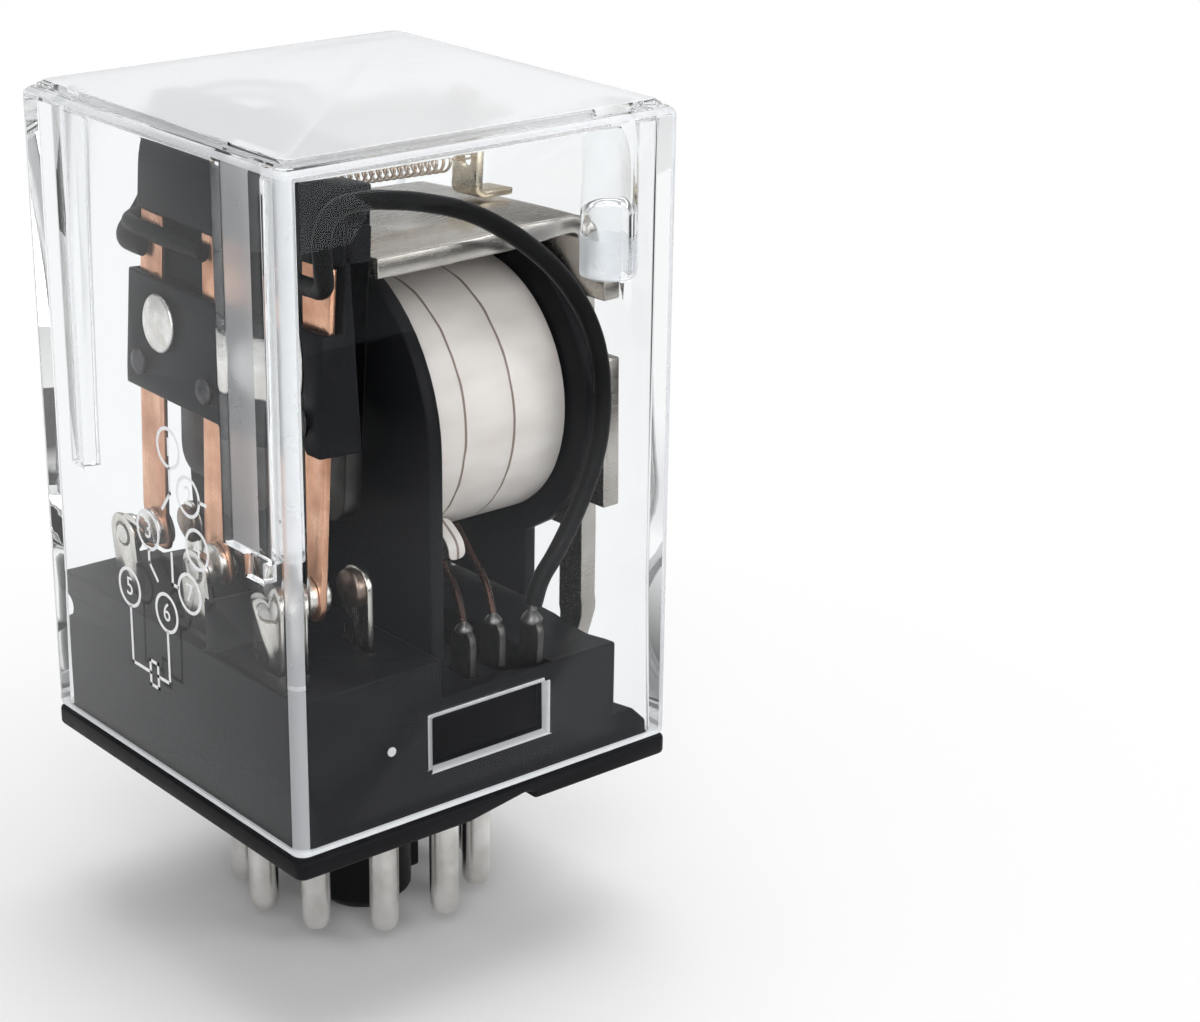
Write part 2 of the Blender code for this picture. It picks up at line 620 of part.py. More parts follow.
def build_yoke():
    outer_bend = YOKE_BEND + YOKE_THICKNESS
    foot = PLUG_TOP + GAP
    bend_x = YOKE_INNER_X - YOKE_BEND
    bend_z = YOKE_BOTTOM - YOKE_BEND
    outline = [(POLE_FACE_X, YOKE_TOP), (POLE_FACE_X, YOKE_BOTTOM)]
    outline += arc(bend_x, bend_z, YOKE_BEND, 90, 0, 4)
    outline += [(YOKE_INNER_X, foot), (YOKE_OUTER_X, foot)]
    outline += arc(bend_x, bend_z, outer_bend, 0, 90, 6)
    yoke = add_object("yoke", prism(outline, "Y", -YOKE_WIDTH / 2, YOKE_WIDTH / 2), "nickel")
    wide = YOKE_EAR_WIDTH / 2
    tab = COIL_HEIGHT + YOKE_TAB_RISE
    ears = block((YOKE_INNER_X, -wide, COIL_HEIGHT - YOKE_EAR_DROP),
                 (YOKE_OUTER_X, wide, COIL_HEIGHT + YOKE_EAR_RISE))
    tabs = block((YOKE_INNER_X, -wide, tab), (YOKE_OUTER_X, wide, tab + YOKE_TAB_HEIGHT))
    combine(yoke, [ears, tabs], 'UNION')
    inside = YOKE_WIDTH / 2 - YOKE_LEG_WIDTH
    arch = block((YOKE_INNER_X - YOKE_BEND, -inside, foot - GAP),
                 (YOKE_OUTER_X + GAP, inside, COIL_HEIGHT - YOKE_ARCH_DROP))
    tenon_hole = cylinder(CORE_TENON_RADIUS + GAP, "X", 0.0, COIL_HEIGHT,
                          YOKE_INNER_X - YOKE_BEND, YOKE_OUTER_X + GAP, 20)
    combine(yoke, [merge_shapes([arch, tenon_hole])], 'DIFFERENCE')
    smooth(yoke)


def build_core():
    shoulder = POLE_FACE_X + POLE_SHOE_THICKNESS
    seat = YOKE_INNER_X - GAP
    end = INNER_HALF - GAP
    edge = POLE_SHOE_THICKNESS / 4
    profile = [(0.0, POLE_FACE_X), (POLE_SHOE_RADIUS - edge, POLE_FACE_X),
               (POLE_SHOE_RADIUS, POLE_FACE_X + edge), (POLE_SHOE_RADIUS, shoulder),
               (CORE_RADIUS, shoulder), (CORE_RADIUS, seat), (CORE_TENON_RADIUS, seat),
               (CORE_TENON_RADIUS, end), (0.0, end)]
    smooth(add_object("core", turned(profile, "X", 0.0, COIL_HEIGHT, 24), "nickel"))


def arched_wall(radius, half_foot, roof, bottom):
    # Bobbin flange outline in Y and Z: a round head on straight legs, cut flat under the yoke
    if radius > roof - COIL_HEIGHT:
        cut = math.degrees(math.asin((roof - COIL_HEIGHT) / radius))
    else:
        cut = 90.0
    leg = -math.degrees(math.acos(min(1.0, half_foot / radius)))
    points = arc(0.0, COIL_HEIGHT, radius, leg, cut, 10)
    points += arc(0.0, COIL_HEIGHT, radius, 180 - cut, 180 - leg, 10)
    if cut == 90.0:
        points.pop(10)
    return [(half_foot, bottom)] + points + [(-half_foot, bottom)]


def build_bobbin():
    bottom = BLOCK_TOP + GAP
    roof = YOKE_BOTTOM - GAP
    bore = CORE_RADIUS + GAP
    front = prism(arched_wall(FRONT_FLANGE_RADIUS, FRONT_FLANGE_RADIUS, roof, bottom), "X",
                  FRONT_FLANGE_X, COIL_START_X)
    rear = prism(arched_wall(REAR_FLANGE_RADIUS, REAR_FLANGE_FOOT / 2, roof, bottom), "X",
                 COIL_END_X, REAR_FLANGE_X)
    overlap = BOBBIN_WALL / 2
    tube = cylinder(bore + BOBBIN_TUBE_WALL, "X", 0.0, COIL_HEIGHT, FRONT_FLANGE_X + overlap,
                    REAR_FLANGE_X - overlap, 24)
    bobbin = add_object("bobbin", front, "black")
    combine(bobbin, [tube, rear], 'UNION')
    hole = cylinder(bore, "X", 0.0, COIL_HEIGHT, FRONT_FLANGE_X - overlap, REAR_FLANGE_X + overlap, 24)
    combine(bobbin, [hole], 'DIFFERENCE')
    smooth(bobbin)


def build_coil():
    inner = CORE_RADIUS + GAP + BOBBIN_TUBE_WALL + GAP
    outer = TAPE_RADIUS - TAPE_THICKNESS - GAP
    low = COIL_START_X + GAP
    high = COIL_END_X - GAP
    smooth(add_object("winding", sleeve(inner, outer, low, high, 32), "winding"))
    smooth(add_object("coil_tape", sleeve(outer + GAP, TAPE_RADIUS, low, high, 40), "tape"))


def build_armature(axis):
    half = CARRIER_RIVET_Y + ARMATURE_SIDE
    tail = ARMATURE_TAIL_WIDTH / 2
    shoulder = YOKE_TOP
    top = YOKE_TOP + ARMATURE_TAIL_RISE
    corner = ARMATURE_CORNER
    neck = ARMATURE_NECK
    outline = arc(-half + corner, ARMATURE_BOTTOM + corner, corner, 180, 270, 4)
    outline += arc(half - corner, ARMATURE_BOTTOM + corner, corner, 270, 360, 4)
    outline += [(half, shoulder), (tail + neck, shoulder), (tail, shoulder + neck)]
    outline += arc(tail - neck, top - neck, neck, 0, 90, 3) + arc(-tail + neck, top - neck, neck, 90, 180, 3)
    outline += [(-tail, shoulder + neck), (-tail - neck, shoulder), (-half, shoulder)]
    plate = to_hinge(prism(outline, "X", ARMATURE_BACK_X, ARMATURE_FACE_X))
    armature = add_object("armature", plate, "nickel", axis)
    back = ARMATURE_BACK_X - GAP
    front = ARMATURE_FACE_X + GAP
    holes = [cylinder(HOOK_HOLE, "X", 0.0, SPRING_HEIGHT, back, front, 12)]
    for y in (-CARRIER_RIVET_Y, CARRIER_RIVET_Y):
        holes.append(cylinder(CARRIER_RIVET_SHANK + GAP, "X", y, CARRIER_RIVET_HEIGHT, back, front, 12))
    combine(armature, [to_hinge(merge_shapes(holes))], 'DIFFERENCE')
    smooth(armature)


def build_carrier(axis):
    half = CARRIER_HALF
    outline = [(CARRIER_FACE_X, CARRIER_BOTTOM), (CARRIER_FACE_X, HOOD_TOP)]
    outline += arc(HOOD_FRONT_X + HOOD_ROUND, HOOD_TOP - HOOD_ROUND, HOOD_ROUND, 90, 180, 5)
    outline += [(HOOD_FRONT_X, HOOD_BOTTOM), (CARRIER_WALL_X, HOOD_BOTTOM), (CARRIER_WALL_X, BAR_TOP),
                (BAR_FRONT_X, BAR_TOP), (BAR_FRONT_X, CARRIER_BOTTOM)]
    body = to_hinge(prism(outline, "Y", -half, half))
    carrier = add_object("contact_carrier", body, "black", axis)
    ears = block((CARRIER_FACE_X - CARRIER_WALL, -half - CARRIER_EAR, HOOD_BOTTOM + GAP),
                 (CARRIER_FACE_X - GAP, half + CARRIER_EAR, HOOD_BOTTOM + HOOD_HEIGHT / 2))
    combine(carrier, [to_hinge(ears)], 'UNION')
    corner_x = HOOD_FRONT_X + HOOD_CORNER
    edge = half + GAP
    corners = []
    for hand in (-1, 1):
        outline = [(HOOD_FRONT_X - GAP, hand * (half - HOOD_CORNER)), (corner_x, hand * edge),
                   (HOOD_FRONT_X - GAP, hand * edge)]
        corners.append(prism(outline[::hand], "Z", HOOD_BOTTOM - GAP, HOOD_TOP + GAP))
    combine(carrier, [to_hinge(merge_shapes(corners))], 'DIFFERENCE')
    side = BLADE_WIDTH / 2 + GAP
    cuts = []
    for pole in POLES:
        cuts.append(block((BAR_BACK_X, pole - side, CARRIER_BOTTOM - GAP),
                          (CARRIER_WALL_X, pole + side, BAR_TOP + GAP)))
    combine(carrier, [to_hinge(merge_shapes(cuts))], 'DIFFERENCE')
    front = BAR_FRONT_X - GAP
    back = CARRIER_FACE_X + GAP
    holes = [cylinder(BLADE_RIVET_SHANK + GAP, "X", y, BLADE_RIVET_HEIGHT, front, back, 12) for y in POLES]
    for y in (-CARRIER_RIVET_Y, CARRIER_RIVET_Y):
        holes.append(cylinder(CARRIER_RIVET_SHANK + GAP, "X", y, CARRIER_RIVET_HEIGHT, front, back, 12))
    pocket = block((CARRIER_WALL_X, -HOOK_HOLE - GAP, HOOD_BOTTOM + GAP),
                   (back, HOOK_HOLE + GAP, SPRING_HEIGHT + HOOK_HOLE))
    combine(carrier, [to_hinge(merge_shapes(holes + [pocket]))], 'DIFFERENCE')
    smooth(carrier)


def rivet(head, shank, end_x, y, z):
    # A round headed rivet along X with its head on the front of the carrier's bar
    head_x = BAR_FRONT_X - GAP
    crown = RIVET_HEAD_THICKNESS / 2
    profile = [(0.0, head_x - RIVET_HEAD_THICKNESS), (head * 0.7, head_x - RIVET_HEAD_THICKNESS),
               (head, head_x - crown), (head, head_x), (shank, head_x), (shank, end_x), (0.0, end_x)]
    return to_hinge(turned(profile, "X", y, z, 20))


def build_rivets(axis):
    for number, y in enumerate(POLES, start=1):
        shape = rivet(BLADE_RIVET_HEAD, BLADE_RIVET_SHANK, CARRIER_FACE_X, y, BLADE_RIVET_HEIGHT)
        smooth(add_object(f"blade_rivet_{number}", shape, "dark_steel", axis))
    for number, y in enumerate((-CARRIER_RIVET_Y, CARRIER_RIVET_Y), start=1):
        shape = rivet(CARRIER_RIVET_HEAD, CARRIER_RIVET_SHANK, ARMATURE_FACE_X, y, CARRIER_RIVET_HEIGHT)
        smooth(add_object(f"carrier_rivet_{number}", shape, "silver", axis))


def build_moving_blades(axis):
    half = BLADE_WIDTH / 2
    middle = BLADE_X + BLADE_THICKNESS / 2
    for number, pole in enumerate(POLES, start=1):
        round_end = half * 0.7
        outline = arc(pole - half + round_end, BLADE_BOTTOM + round_end, round_end, 180, 270, 4)
        outline += arc(pole + half - round_end, BLADE_BOTTOM + round_end, round_end, 270, 360, 4)
        outline += [(pole + half, BLADE_TOP), (pole - half, BLADE_TOP)]
        strip = to_hinge(prism(outline, "X", BLADE_X, BLADE_X + BLADE_THICKNESS))
        blade = add_object(f"moving_blade_{number}", strip, "copper", axis)
        low = BLADE_X - GAP
        high = BLADE_X + BLADE_THICKNESS + GAP
        holes = [cylinder(CONTACT_SHANK + GAP, "X", pole, CONTACT_HEIGHT, low, high, 12),
                 cylinder(BLADE_RIVET_SHANK + GAP, "X", pole, BLADE_RIVET_HEIGHT, low, high, 12)]
        combine(blade, [to_hinge(merge_shapes(holes))], 'DIFFERENCE')
        smooth(blade)
        inner = BLADE_THICKNESS / 2 + GAP
        face = CONTACT_RADIUS * 0.9
        profile = [(0.0, middle - MOVING_CONTACT_REACH), (face, middle - MOVING_CONTACT_REACH),
                   (CONTACT_RADIUS, middle - inner - CONTACT_THICKNESS / 2), (CONTACT_RADIUS, middle - inner),
                   (CONTACT_SHANK, middle - inner), (CONTACT_SHANK, middle + inner),
                   (CONTACT_RADIUS, middle + inner), (CONTACT_RADIUS, middle + inner + CONTACT_THICKNESS / 2),
                   (face, middle + MOVING_CONTACT_REACH), (0.0, middle + MOVING_CONTACT_REACH)]
        shape = to_hinge(turned(profile, "X", pole, CONTACT_HEIGHT, 16))
        smooth(add_object(f"moving_contact_{number}", shape, "silver", axis))


def fixed_contact(face_x, strip_x, away):
    # Contact rivet: its face towards the blade, its shank through the terminal strip
    head_x = face_x + away * CONTACT_THICKNESS
    end_x = strip_x + (TERMINAL_THICKNESS if away > 0 else 0.0)
    edge_x = face_x + away * CONTACT_THICKNESS / 2
    return [(0.0, face_x), (CONTACT_RADIUS * 0.9, face_x), (CONTACT_RADIUS, edge_x), (CONTACT_RADIUS, head_x),
            (CONTACT_SHANK, head_x), (CONTACT_SHANK, end_x), (0.0, end_x)]


def build_fixed_contacts():
    bottom = CONTACT_BLOCK_TOP - SLOT_DEPTH + GAP
    half = TERMINAL_WIDTH / 2
    kinds = (("closed", OPEN_TERMINAL_X, OPEN_FACE_X, -1), ("open", CLOSED_TERMINAL_X, CLOSED_FACE_X, 1))
    for kind, strip_x, face_x, away in kinds:
        for number, pole in enumerate(POLES, start=1):
            outline = [(pole - half, bottom), (pole + half, bottom)]
            outline += arc(pole, CONTACT_HEIGHT, half, 0, 180, 10)
            strip = prism(outline, "X", strip_x, strip_x + TERMINAL_THICKNESS)
            terminal = add_object(f"{kind}_terminal_{number}", strip, "nickel")
            hole = cylinder(CONTACT_SHANK + GAP, "X", pole, CONTACT_HEIGHT, strip_x - GAP,
                            strip_x + TERMINAL_THICKNESS + GAP, 12)
            combine(terminal, [hole], 'DIFFERENCE')
            smooth(terminal)
            shape = turned(fixed_contact(face_x, strip_x, away), "X", pole, CONTACT_HEIGHT, 16)
            smooth(add_object(f"{kind}_contact_{number}", shape, "silver"))


def build_lugs():
    bottom = BLOCK_TOP - SLOT_DEPTH + GAP
    half = LUG_WIDTH / 2
    for name, (x, y) in lug_places().items():
        outline = [(y - half, bottom), (y + half, bottom)]
        outline += arc(y, LUG_TOP - half, half, 0, 180, 8)
        lug = add_object(name, prism(outline, "X", x, x + LUG_THICKNESS), "nickel")
        smooth(lug)


def build_spring_anchor():
    # Bent plate on top of the yoke: a foot and an upright with the hook hole
    foot = YOKE_TOP + GAP
    top = YOKE_TOP + GAP + ANCHOR_RISE
    inner = ANCHOR_THICKNESS * 0.6
    bend = inner + ANCHOR_THICKNESS
    center = ANCHOR_X + bend
    outline = [(ANCHOR_X, top)] + arc(center, foot + bend, bend, 180, 270, 5)
    outline += [(ANCHOR_X + ANCHOR_FOOT, foot), (ANCHOR_X + ANCHOR_FOOT, foot + ANCHOR_THICKNESS)]
    outline += arc(center, foot + bend, inner, 270, 180, 4) + [(ANCHOR_X + ANCHOR_THICKNESS, top)]
    half = ANCHOR_WIDTH / 2
    anchor = add_object("spring_anchor", prism(outline, "Y", -half, half), "brass")
    hole = cylinder(HOOK_HOLE, "X", 0.0, SPRING_HEIGHT, ANCHOR_X - GAP, ANCHOR_X + ANCHOR_THICKNESS + GAP, 12)
    combine(anchor, [hole], 'DIFFERENCE')
    smooth(anchor)


def spring_points():
    # Hook through the armature tail, helix, hook through the anchor
    per_turn = 9
    start = ARMATURE_FACE_X + SPRING_TAIL
    end = ANCHOR_X - 2 * SPRING_RADIUS
    length = end - start
    tail = ARMATURE_BACK_X + math.sin(REST_TILT) * SPRING_RISE
    reach = 2 * SPRING_WIRE
    points = [Vector((tail - reach, 0.0, SPRING_HEIGHT - 2 * reach)),
              Vector((tail - reach, 0.0, SPRING_HEIGHT - reach)),
              Vector((tail, 0.0, SPRING_HEIGHT)),
              Vector((start - SPRING_RADIUS, 0.0, SPRING_HEIGHT))]
    for step in range(SPRING_TURNS * per_turn + 1):
        angle = 2 * math.pi * step / per_turn
        points.append(Vector((start + length * step / (SPRING_TURNS * per_turn),
                              SPRING_RADIUS * math.sin(angle),
                              SPRING_HEIGHT + SPRING_RADIUS * math.cos(angle))))
    far = ANCHOR_X + ANCHOR_THICKNESS
    points += [Vector((end + SPRING_RADIUS, 0.0, SPRING_HEIGHT)),
               Vector((far, 0.0, SPRING_HEIGHT)),
               Vector((far + reach, 0.0, SPRING_HEIGHT - reach)),
               Vector((far + reach, 0.0, SPRING_HEIGHT - 2 * reach))]
    return points


def least_self_gap(points, diameter, skip):
    # Smallest free distance between stretches of the wire that are not neighbours along it
    least = math.inf
    for first in range(len(points)):
        for second in range(first + skip, len(points)):
            least = min(least, (points[first] - points[second]).length)
    return least - diameter


def build_spring():
    points = spring_points()
    gap = least_self_gap(points, SPRING_WIRE, 5)
    print(f"return_spring least gap to itself {gap / MM:.2f} mm")
    add_wire("return_spring", points, SPRING_WIRE, "spring", 1)


# Flexible leads, first from the blade to the lane beside the coil: along and up from the hinge edge in lead
# diameters, and across as a share of the way from the pole to the lane
FRONT_LEAD_START = [
    (-4.32, -0.24, -1.07), (-4.39, 0.29, -0.93), (-4.82, 0.83, -0.36), (-5.25, 1.02, 1.07),
    (-5.25, 1.02, 2.50), (-4.54, 1.00, 3.64), (-3.04, 1.00, 3.93), (-0.93, 1.00, 3.68),
    (1.11, 1.00, 3.21), (3.61, 1.00, 2.36),
]
MIDDLE_LEAD_START = [
    (-4.43, 0.04, -2.22), (-4.54, 0.21, -2.29), (-4.61, 0.56, -2.36), (-4.46, 0.89, -2.36),
    (-3.75, 1.02, -1.70), (-2.39, 1.03, -0.64), (-0.25, 1.01, 0.64),
]
REAR_LEAD_START = [
    (-4.32, -0.24, -1.07), (-4.39, 0.29, -0.93), (-4.25, 0.81, -0.64), (-3.75, 1.05, 0.36),
    (-2.68, 1.07, 1.79), (-1.11, 1.05, 2.71), (1.04, 1.00, 2.90), (3.61, 1.00, 2.36),
]

# Then round the coil to the lug: along in half coil lengths from the coil's middle, and from the coil's axis
# as a share of the height up to the yoke or down to the lug
OUTER_LEAD_LOOP = [
    (-0.193, 1.090), (0.138, 0.969), (0.435, 0.832), (0.695, 0.670), (0.873, 0.512), (0.988, 0.340),
    (1.038, 0.155), (1.030, -0.027), (0.959, -0.204), (0.853, -0.341), (0.635, -0.541), (0.418, -0.702),
    (0.243, -0.812), (0.140, -0.945),
]
MIDDLE_LEAD_LOOP = [
    (-0.838, 1.048), (-0.189, 0.870), (0.270, 0.582), (0.541, 0.253), (0.622, -0.050), (0.459, -0.340),
    (0.081, -0.630), (-0.284, -0.810), (-0.446, -0.880), (-0.486, -0.945),
]


def lead_route(pole, lane, start, loop):
    points = []
    for along, across, up in start:
        y = pole + across * (lane - pole)
        points.append(HINGE + Vector((along * LEAD_DIAMETER, y, up * LEAD_DIAMETER)))
    for along, up in loop:
        reach = YOKE_TOP - COIL_HEIGHT if up > 0.0 else COIL_HEIGHT - LUG_TOP
        points.append(Vector((COIL_MIDDLE_X + along * COIL_HALF_LENGTH, lane, COIL_HEIGHT + up * reach)))
    return points


def coil_wire_route(lug_x):
    # From low on the side of the coil, over to the top of its lug
    angle = math.radians(COIL_WIRE_ANGLE)
    off = TAPE_RADIUS + GAP + COIL_WIRE_DIAMETER / 2
    start = Vector((lug_x + LUG_WIDTH / 2, -off * math.sin(angle), COIL_HEIGHT - off * math.cos(angle)))
    end = Vector((lug_x + LUG_THICKNESS / 2, -COIL_LUG_Y, LUG_TOP + GAP))
    bow = Vector((0.0, 0.0, 2 * COIL_WIRE_DIAMETER))
    return [start, start.lerp(end, 0.4) + bow * 0.6, start.lerp(end, 0.8) + bow, end]


def build_leads():
    spacing = 1.6 * LEAD_DIAMETER
    routes = [lead_route(POLES[0], -LEAD_LANE, FRONT_LEAD_START, OUTER_LEAD_LOOP),
              lead_route(POLES[1], LEAD_LANE, MIDDLE_LEAD_START, MIDDLE_LEAD_LOOP),
              lead_route(POLES[2], LEAD_LANE, REAR_LEAD_START, OUTER_LEAD_LOOP)]
    for number, route in enumerate(routes, start=1):
        add_wire(f"lead_{number}", smooth_route(route, spacing), LEAD_DIAMETER, "sleeve", 2)
    for number, lug_x in enumerate((COIL_LUG_X, COIL_LUG_X + COIL_LUG_PITCH), start=1):
        points = smooth_route(coil_wire_route(lug_x), 2 * COIL_WIRE_DIAMETER)
        add_wire(f"coil_wire_{number}", points, COIL_WIRE_DIAMETER, "copper", 2)


def build_hinge_axis():
    axis = bpy.data.objects.new("armature_axis", None)
    bpy.context.scene.collection.objects.link(axis)
    axis.matrix_world = Matrix.Translation(HINGE) @ Matrix.Rotation(REST_TILT, 4, 'Y')
    bpy.context.view_layer.update()
    return axis


def main():
    clear_scene()
    axis = build_hinge_axis()
    build_base()
    build_pins()
    build_cover()
    build_yoke()
    build_core()
    build_bobbin()
    build_coil()
    build_armature(axis)
    build_carrier(axis)
    build_rivets(axis)
    build_moving_blades(axis)
    build_fixed_contacts()
    build_lugs()
    build_spring_anchor()
    build_spring()
    build_leads()


main()
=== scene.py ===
import json
import math

import bpy
from mathutils import Matrix, Vector

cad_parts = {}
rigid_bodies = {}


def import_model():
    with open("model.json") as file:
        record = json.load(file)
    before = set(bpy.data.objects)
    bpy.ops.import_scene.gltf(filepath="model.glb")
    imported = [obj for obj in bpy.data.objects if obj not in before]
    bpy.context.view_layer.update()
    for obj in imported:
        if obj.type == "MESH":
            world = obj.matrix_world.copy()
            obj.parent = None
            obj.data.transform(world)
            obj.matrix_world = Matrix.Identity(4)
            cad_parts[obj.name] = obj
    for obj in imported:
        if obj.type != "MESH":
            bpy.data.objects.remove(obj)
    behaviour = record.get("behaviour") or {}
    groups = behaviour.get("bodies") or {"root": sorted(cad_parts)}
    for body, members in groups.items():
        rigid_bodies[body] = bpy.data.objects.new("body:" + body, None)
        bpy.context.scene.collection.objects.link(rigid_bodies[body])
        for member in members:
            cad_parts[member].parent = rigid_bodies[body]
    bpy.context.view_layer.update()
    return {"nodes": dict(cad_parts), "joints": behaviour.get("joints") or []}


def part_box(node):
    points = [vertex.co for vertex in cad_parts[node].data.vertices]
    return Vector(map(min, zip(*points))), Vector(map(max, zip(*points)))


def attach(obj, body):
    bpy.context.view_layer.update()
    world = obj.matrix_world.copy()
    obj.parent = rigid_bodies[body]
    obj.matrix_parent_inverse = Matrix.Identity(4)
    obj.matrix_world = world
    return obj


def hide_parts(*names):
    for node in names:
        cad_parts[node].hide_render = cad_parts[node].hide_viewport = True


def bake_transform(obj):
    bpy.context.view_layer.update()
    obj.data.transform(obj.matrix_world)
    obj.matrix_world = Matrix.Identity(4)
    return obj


for leftover in list(bpy.data.objects):
    bpy.data.objects.remove(leftover)
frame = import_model()

mm = 0.001  # the settings are in millimetres
relayBody = "relay_body"
swingBody = "armature"
hingePoint = Vector(frame["joints"][0]["pos_m"]) / mm
restTilt = math.radians(3.449)  # the armature rests this far open
print("frame:", len(frame["nodes"]), "nodes")


# Working with pieces

def takeUp(obj):
    if bpy.context.mode != "OBJECT":
        bpy.ops.object.mode_set(mode="OBJECT")
    bpy.ops.object.select_all(action="DESELECT")
    obj.select_set(True)
    bpy.context.view_layer.objects.active = obj


def nameNew(name):
    obj = bpy.context.active_object
    obj.name = name
    obj.data.name = name
    return obj


def settlePlace():
    bpy.ops.object.transform_apply(location=True, rotation=True, scale=True)


def nodeSpan(node):
    low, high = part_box(node)
    return Vector(low) / mm, Vector(high) / mm


def nodeMiddle(node):
    low, high = nodeSpan(node)
    return (low + high) / 2


poleRows = {number: nodeMiddle(f"moving_blade_{number}").y for number in (1, 2, 3)}
coilHeight = 28.5  # of the coil's axis


def applyModifier(obj, kind, **settings):
    takeUp(obj)
    modifier = obj.modifiers.new(kind.title(), kind)
    for name, value in settings.items():
        setattr(modifier, name, value)
    bpy.ops.object.modifier_apply(modifier=modifier.name)


def pickPoints(obj, wanted):
    takeUp(obj)
    bpy.ops.object.mode_set(mode="EDIT")
    bpy.ops.mesh.select_mode(type="VERT")
    bpy.ops.mesh.select_all(action="DESELECT")
    bpy.ops.object.mode_set(mode="OBJECT")
    for point in obj.data.vertices:
        point.select = wanted(*(point.co / mm))
    bpy.ops.object.mode_set(mode="EDIT")


def mergeAll(obj, turnOut=True):
    takeUp(obj)
    bpy.ops.object.mode_set(mode="EDIT")
    bpy.ops.mesh.select_all(action="SELECT")
    bpy.ops.mesh.remove_doubles(threshold=0.001 * mm)
    if turnOut:
        bpy.ops.mesh.normals_make_consistent(inside=False)
    bpy.ops.object.mode_set(mode="OBJECT")


def softenEdges(obj, width, segments=2, angle=40):
    applyModifier(obj, "BEVEL", width=width * mm, segments=segments, limit_method="ANGLE",
                  angle_limit=math.radians(angle), use_clamp_overlap=False)


def addBlock(name, low, high):
    bpy.ops.object.select_all(action="DESELECT")
    middle = [(a + b) / 2 * mm for a, b in zip(low, high)]
    sides = [(b - a) * mm for a, b in zip(low, high)]
    bpy.ops.mesh.primitive_cube_add(size=1, location=middle, scale=sides)
    block = nameNew(name)
    settlePlace()
    return block


def startPoint(name, x, y, z):
    # one vertex, left in edit mode to be drawn out
    bpy.ops.object.select_all(action="DESELECT")
    bpy.ops.mesh.primitive_plane_add(size=mm)
    piece = nameNew(name)
    bpy.ops.object.mode_set(mode="EDIT")
    bpy.ops.mesh.select_mode(type="VERT")
    bpy.ops.mesh.select_all(action="SELECT")
    bpy.ops.mesh.merge(type="CENTER")
    bpy.ops.transform.translate(value=(x * mm, y * mm, z * mm))
    return piece


def turnPiece(name, profile, steps=48):
    # (radius, height) points drawn beside the Z axis and spun round it
    piece = startPoint(name, profile[0][0], 0, profile[0][1])
    for (nearRadius, nearHeight), (radius, height) in zip(profile, profile[1:]):
        move = ((radius - nearRadius) * mm, 0, (height - nearHeight) * mm)
        bpy.ops.mesh.extrude_vertices_move(TRANSFORM_OT_translate={"value": move})
    bpy.ops.mesh.select_all(action="SELECT")
    bpy.ops.mesh.spin(steps=steps, angle=2 * math.pi, center=(0, 0, 0), axis=(0, 0, 1))
    mergeAll(piece)
    return piece


def copyPiece(source, name):
    copy = source.copy()
    copy.data = source.data.copy()
    copy.name = name
    copy.data.name = name
    bpy.context.scene.collection.objects.link(copy)
    return copy


def alongX(at, tilt=0.0):
    # lays a piece turned on Z along X, with its top end towards +X
    return Matrix.Translation(Vector(at) * mm) @ Matrix.Rotation(math.radians(90) + tilt, 4, "Y")


def drawTube(name, points, diameter, roundness=5, smoothness=6):
    curve = bpy.data.curves.new(name, "CURVE")
    curve.dimensions = "3D"
    curve.bevel_depth = diameter / 2 * mm
    curve.bevel_resolution = roundness
    curve.resolution_u = smoothness
    curve.use_fill_caps = True
    line = curve.splines.new("BEZIER")
    line.bezier_points.add(len(points) - 1)
    for knot, point in zip(line.bezier_points, points):
        knot.co = Vector(point) * mm
        knot.handle_left_type = "AUTO"
        knot.handle_right_type = "AUTO"
    tube = bpy.data.objects.new(name, curve)
    bpy.context.scene.collection.objects.link(tube)
    takeUp(tube)
    bpy.ops.object.convert(target="MESH")
    tube = nameNew(name)
    mergeAll(tube)
    return tube


def shapedCopy(node, width, rework=None, segments=2, angle=40):
    # a merged copy of a CAD node with its edges rounded
    copy = bpy.data.objects.new(node + "Shaped", frame["nodes"][node].data.copy())
    bpy.context.scene.collection.objects.link(copy)
    mergeAll(copy, turnOut=False)
    bpy.ops.object.mode_set(mode="EDIT")
    bpy.ops.mesh.select_all(action="SELECT")
    bpy.ops.mesh.dissolve_limited(angle_limit=math.radians(0.5))
    bpy.ops.object.mode_set(mode="OBJECT")
    if rework:
        rework(copy)
    softenEdges(copy, width, segments, angle)
    return copy


def joinPieces(name, pieces):
    takeUp(pieces[0])
    for piece in pieces[1:]:
        piece.select_set(True)
    bpy.ops.object.join()
    return nameNew(name)


def finishPiece(obj, finish, body, nodes=(), crease=35):
    takeUp(obj)
    settlePlace()
    bpy.ops.object.shade_smooth_by_angle(angle=math.radians(crease))
    obj.data.materials.clear()
    obj.data.materials.append(finish)
    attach(obj, body)
    if nodes:
        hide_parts(*nodes)


# Materials

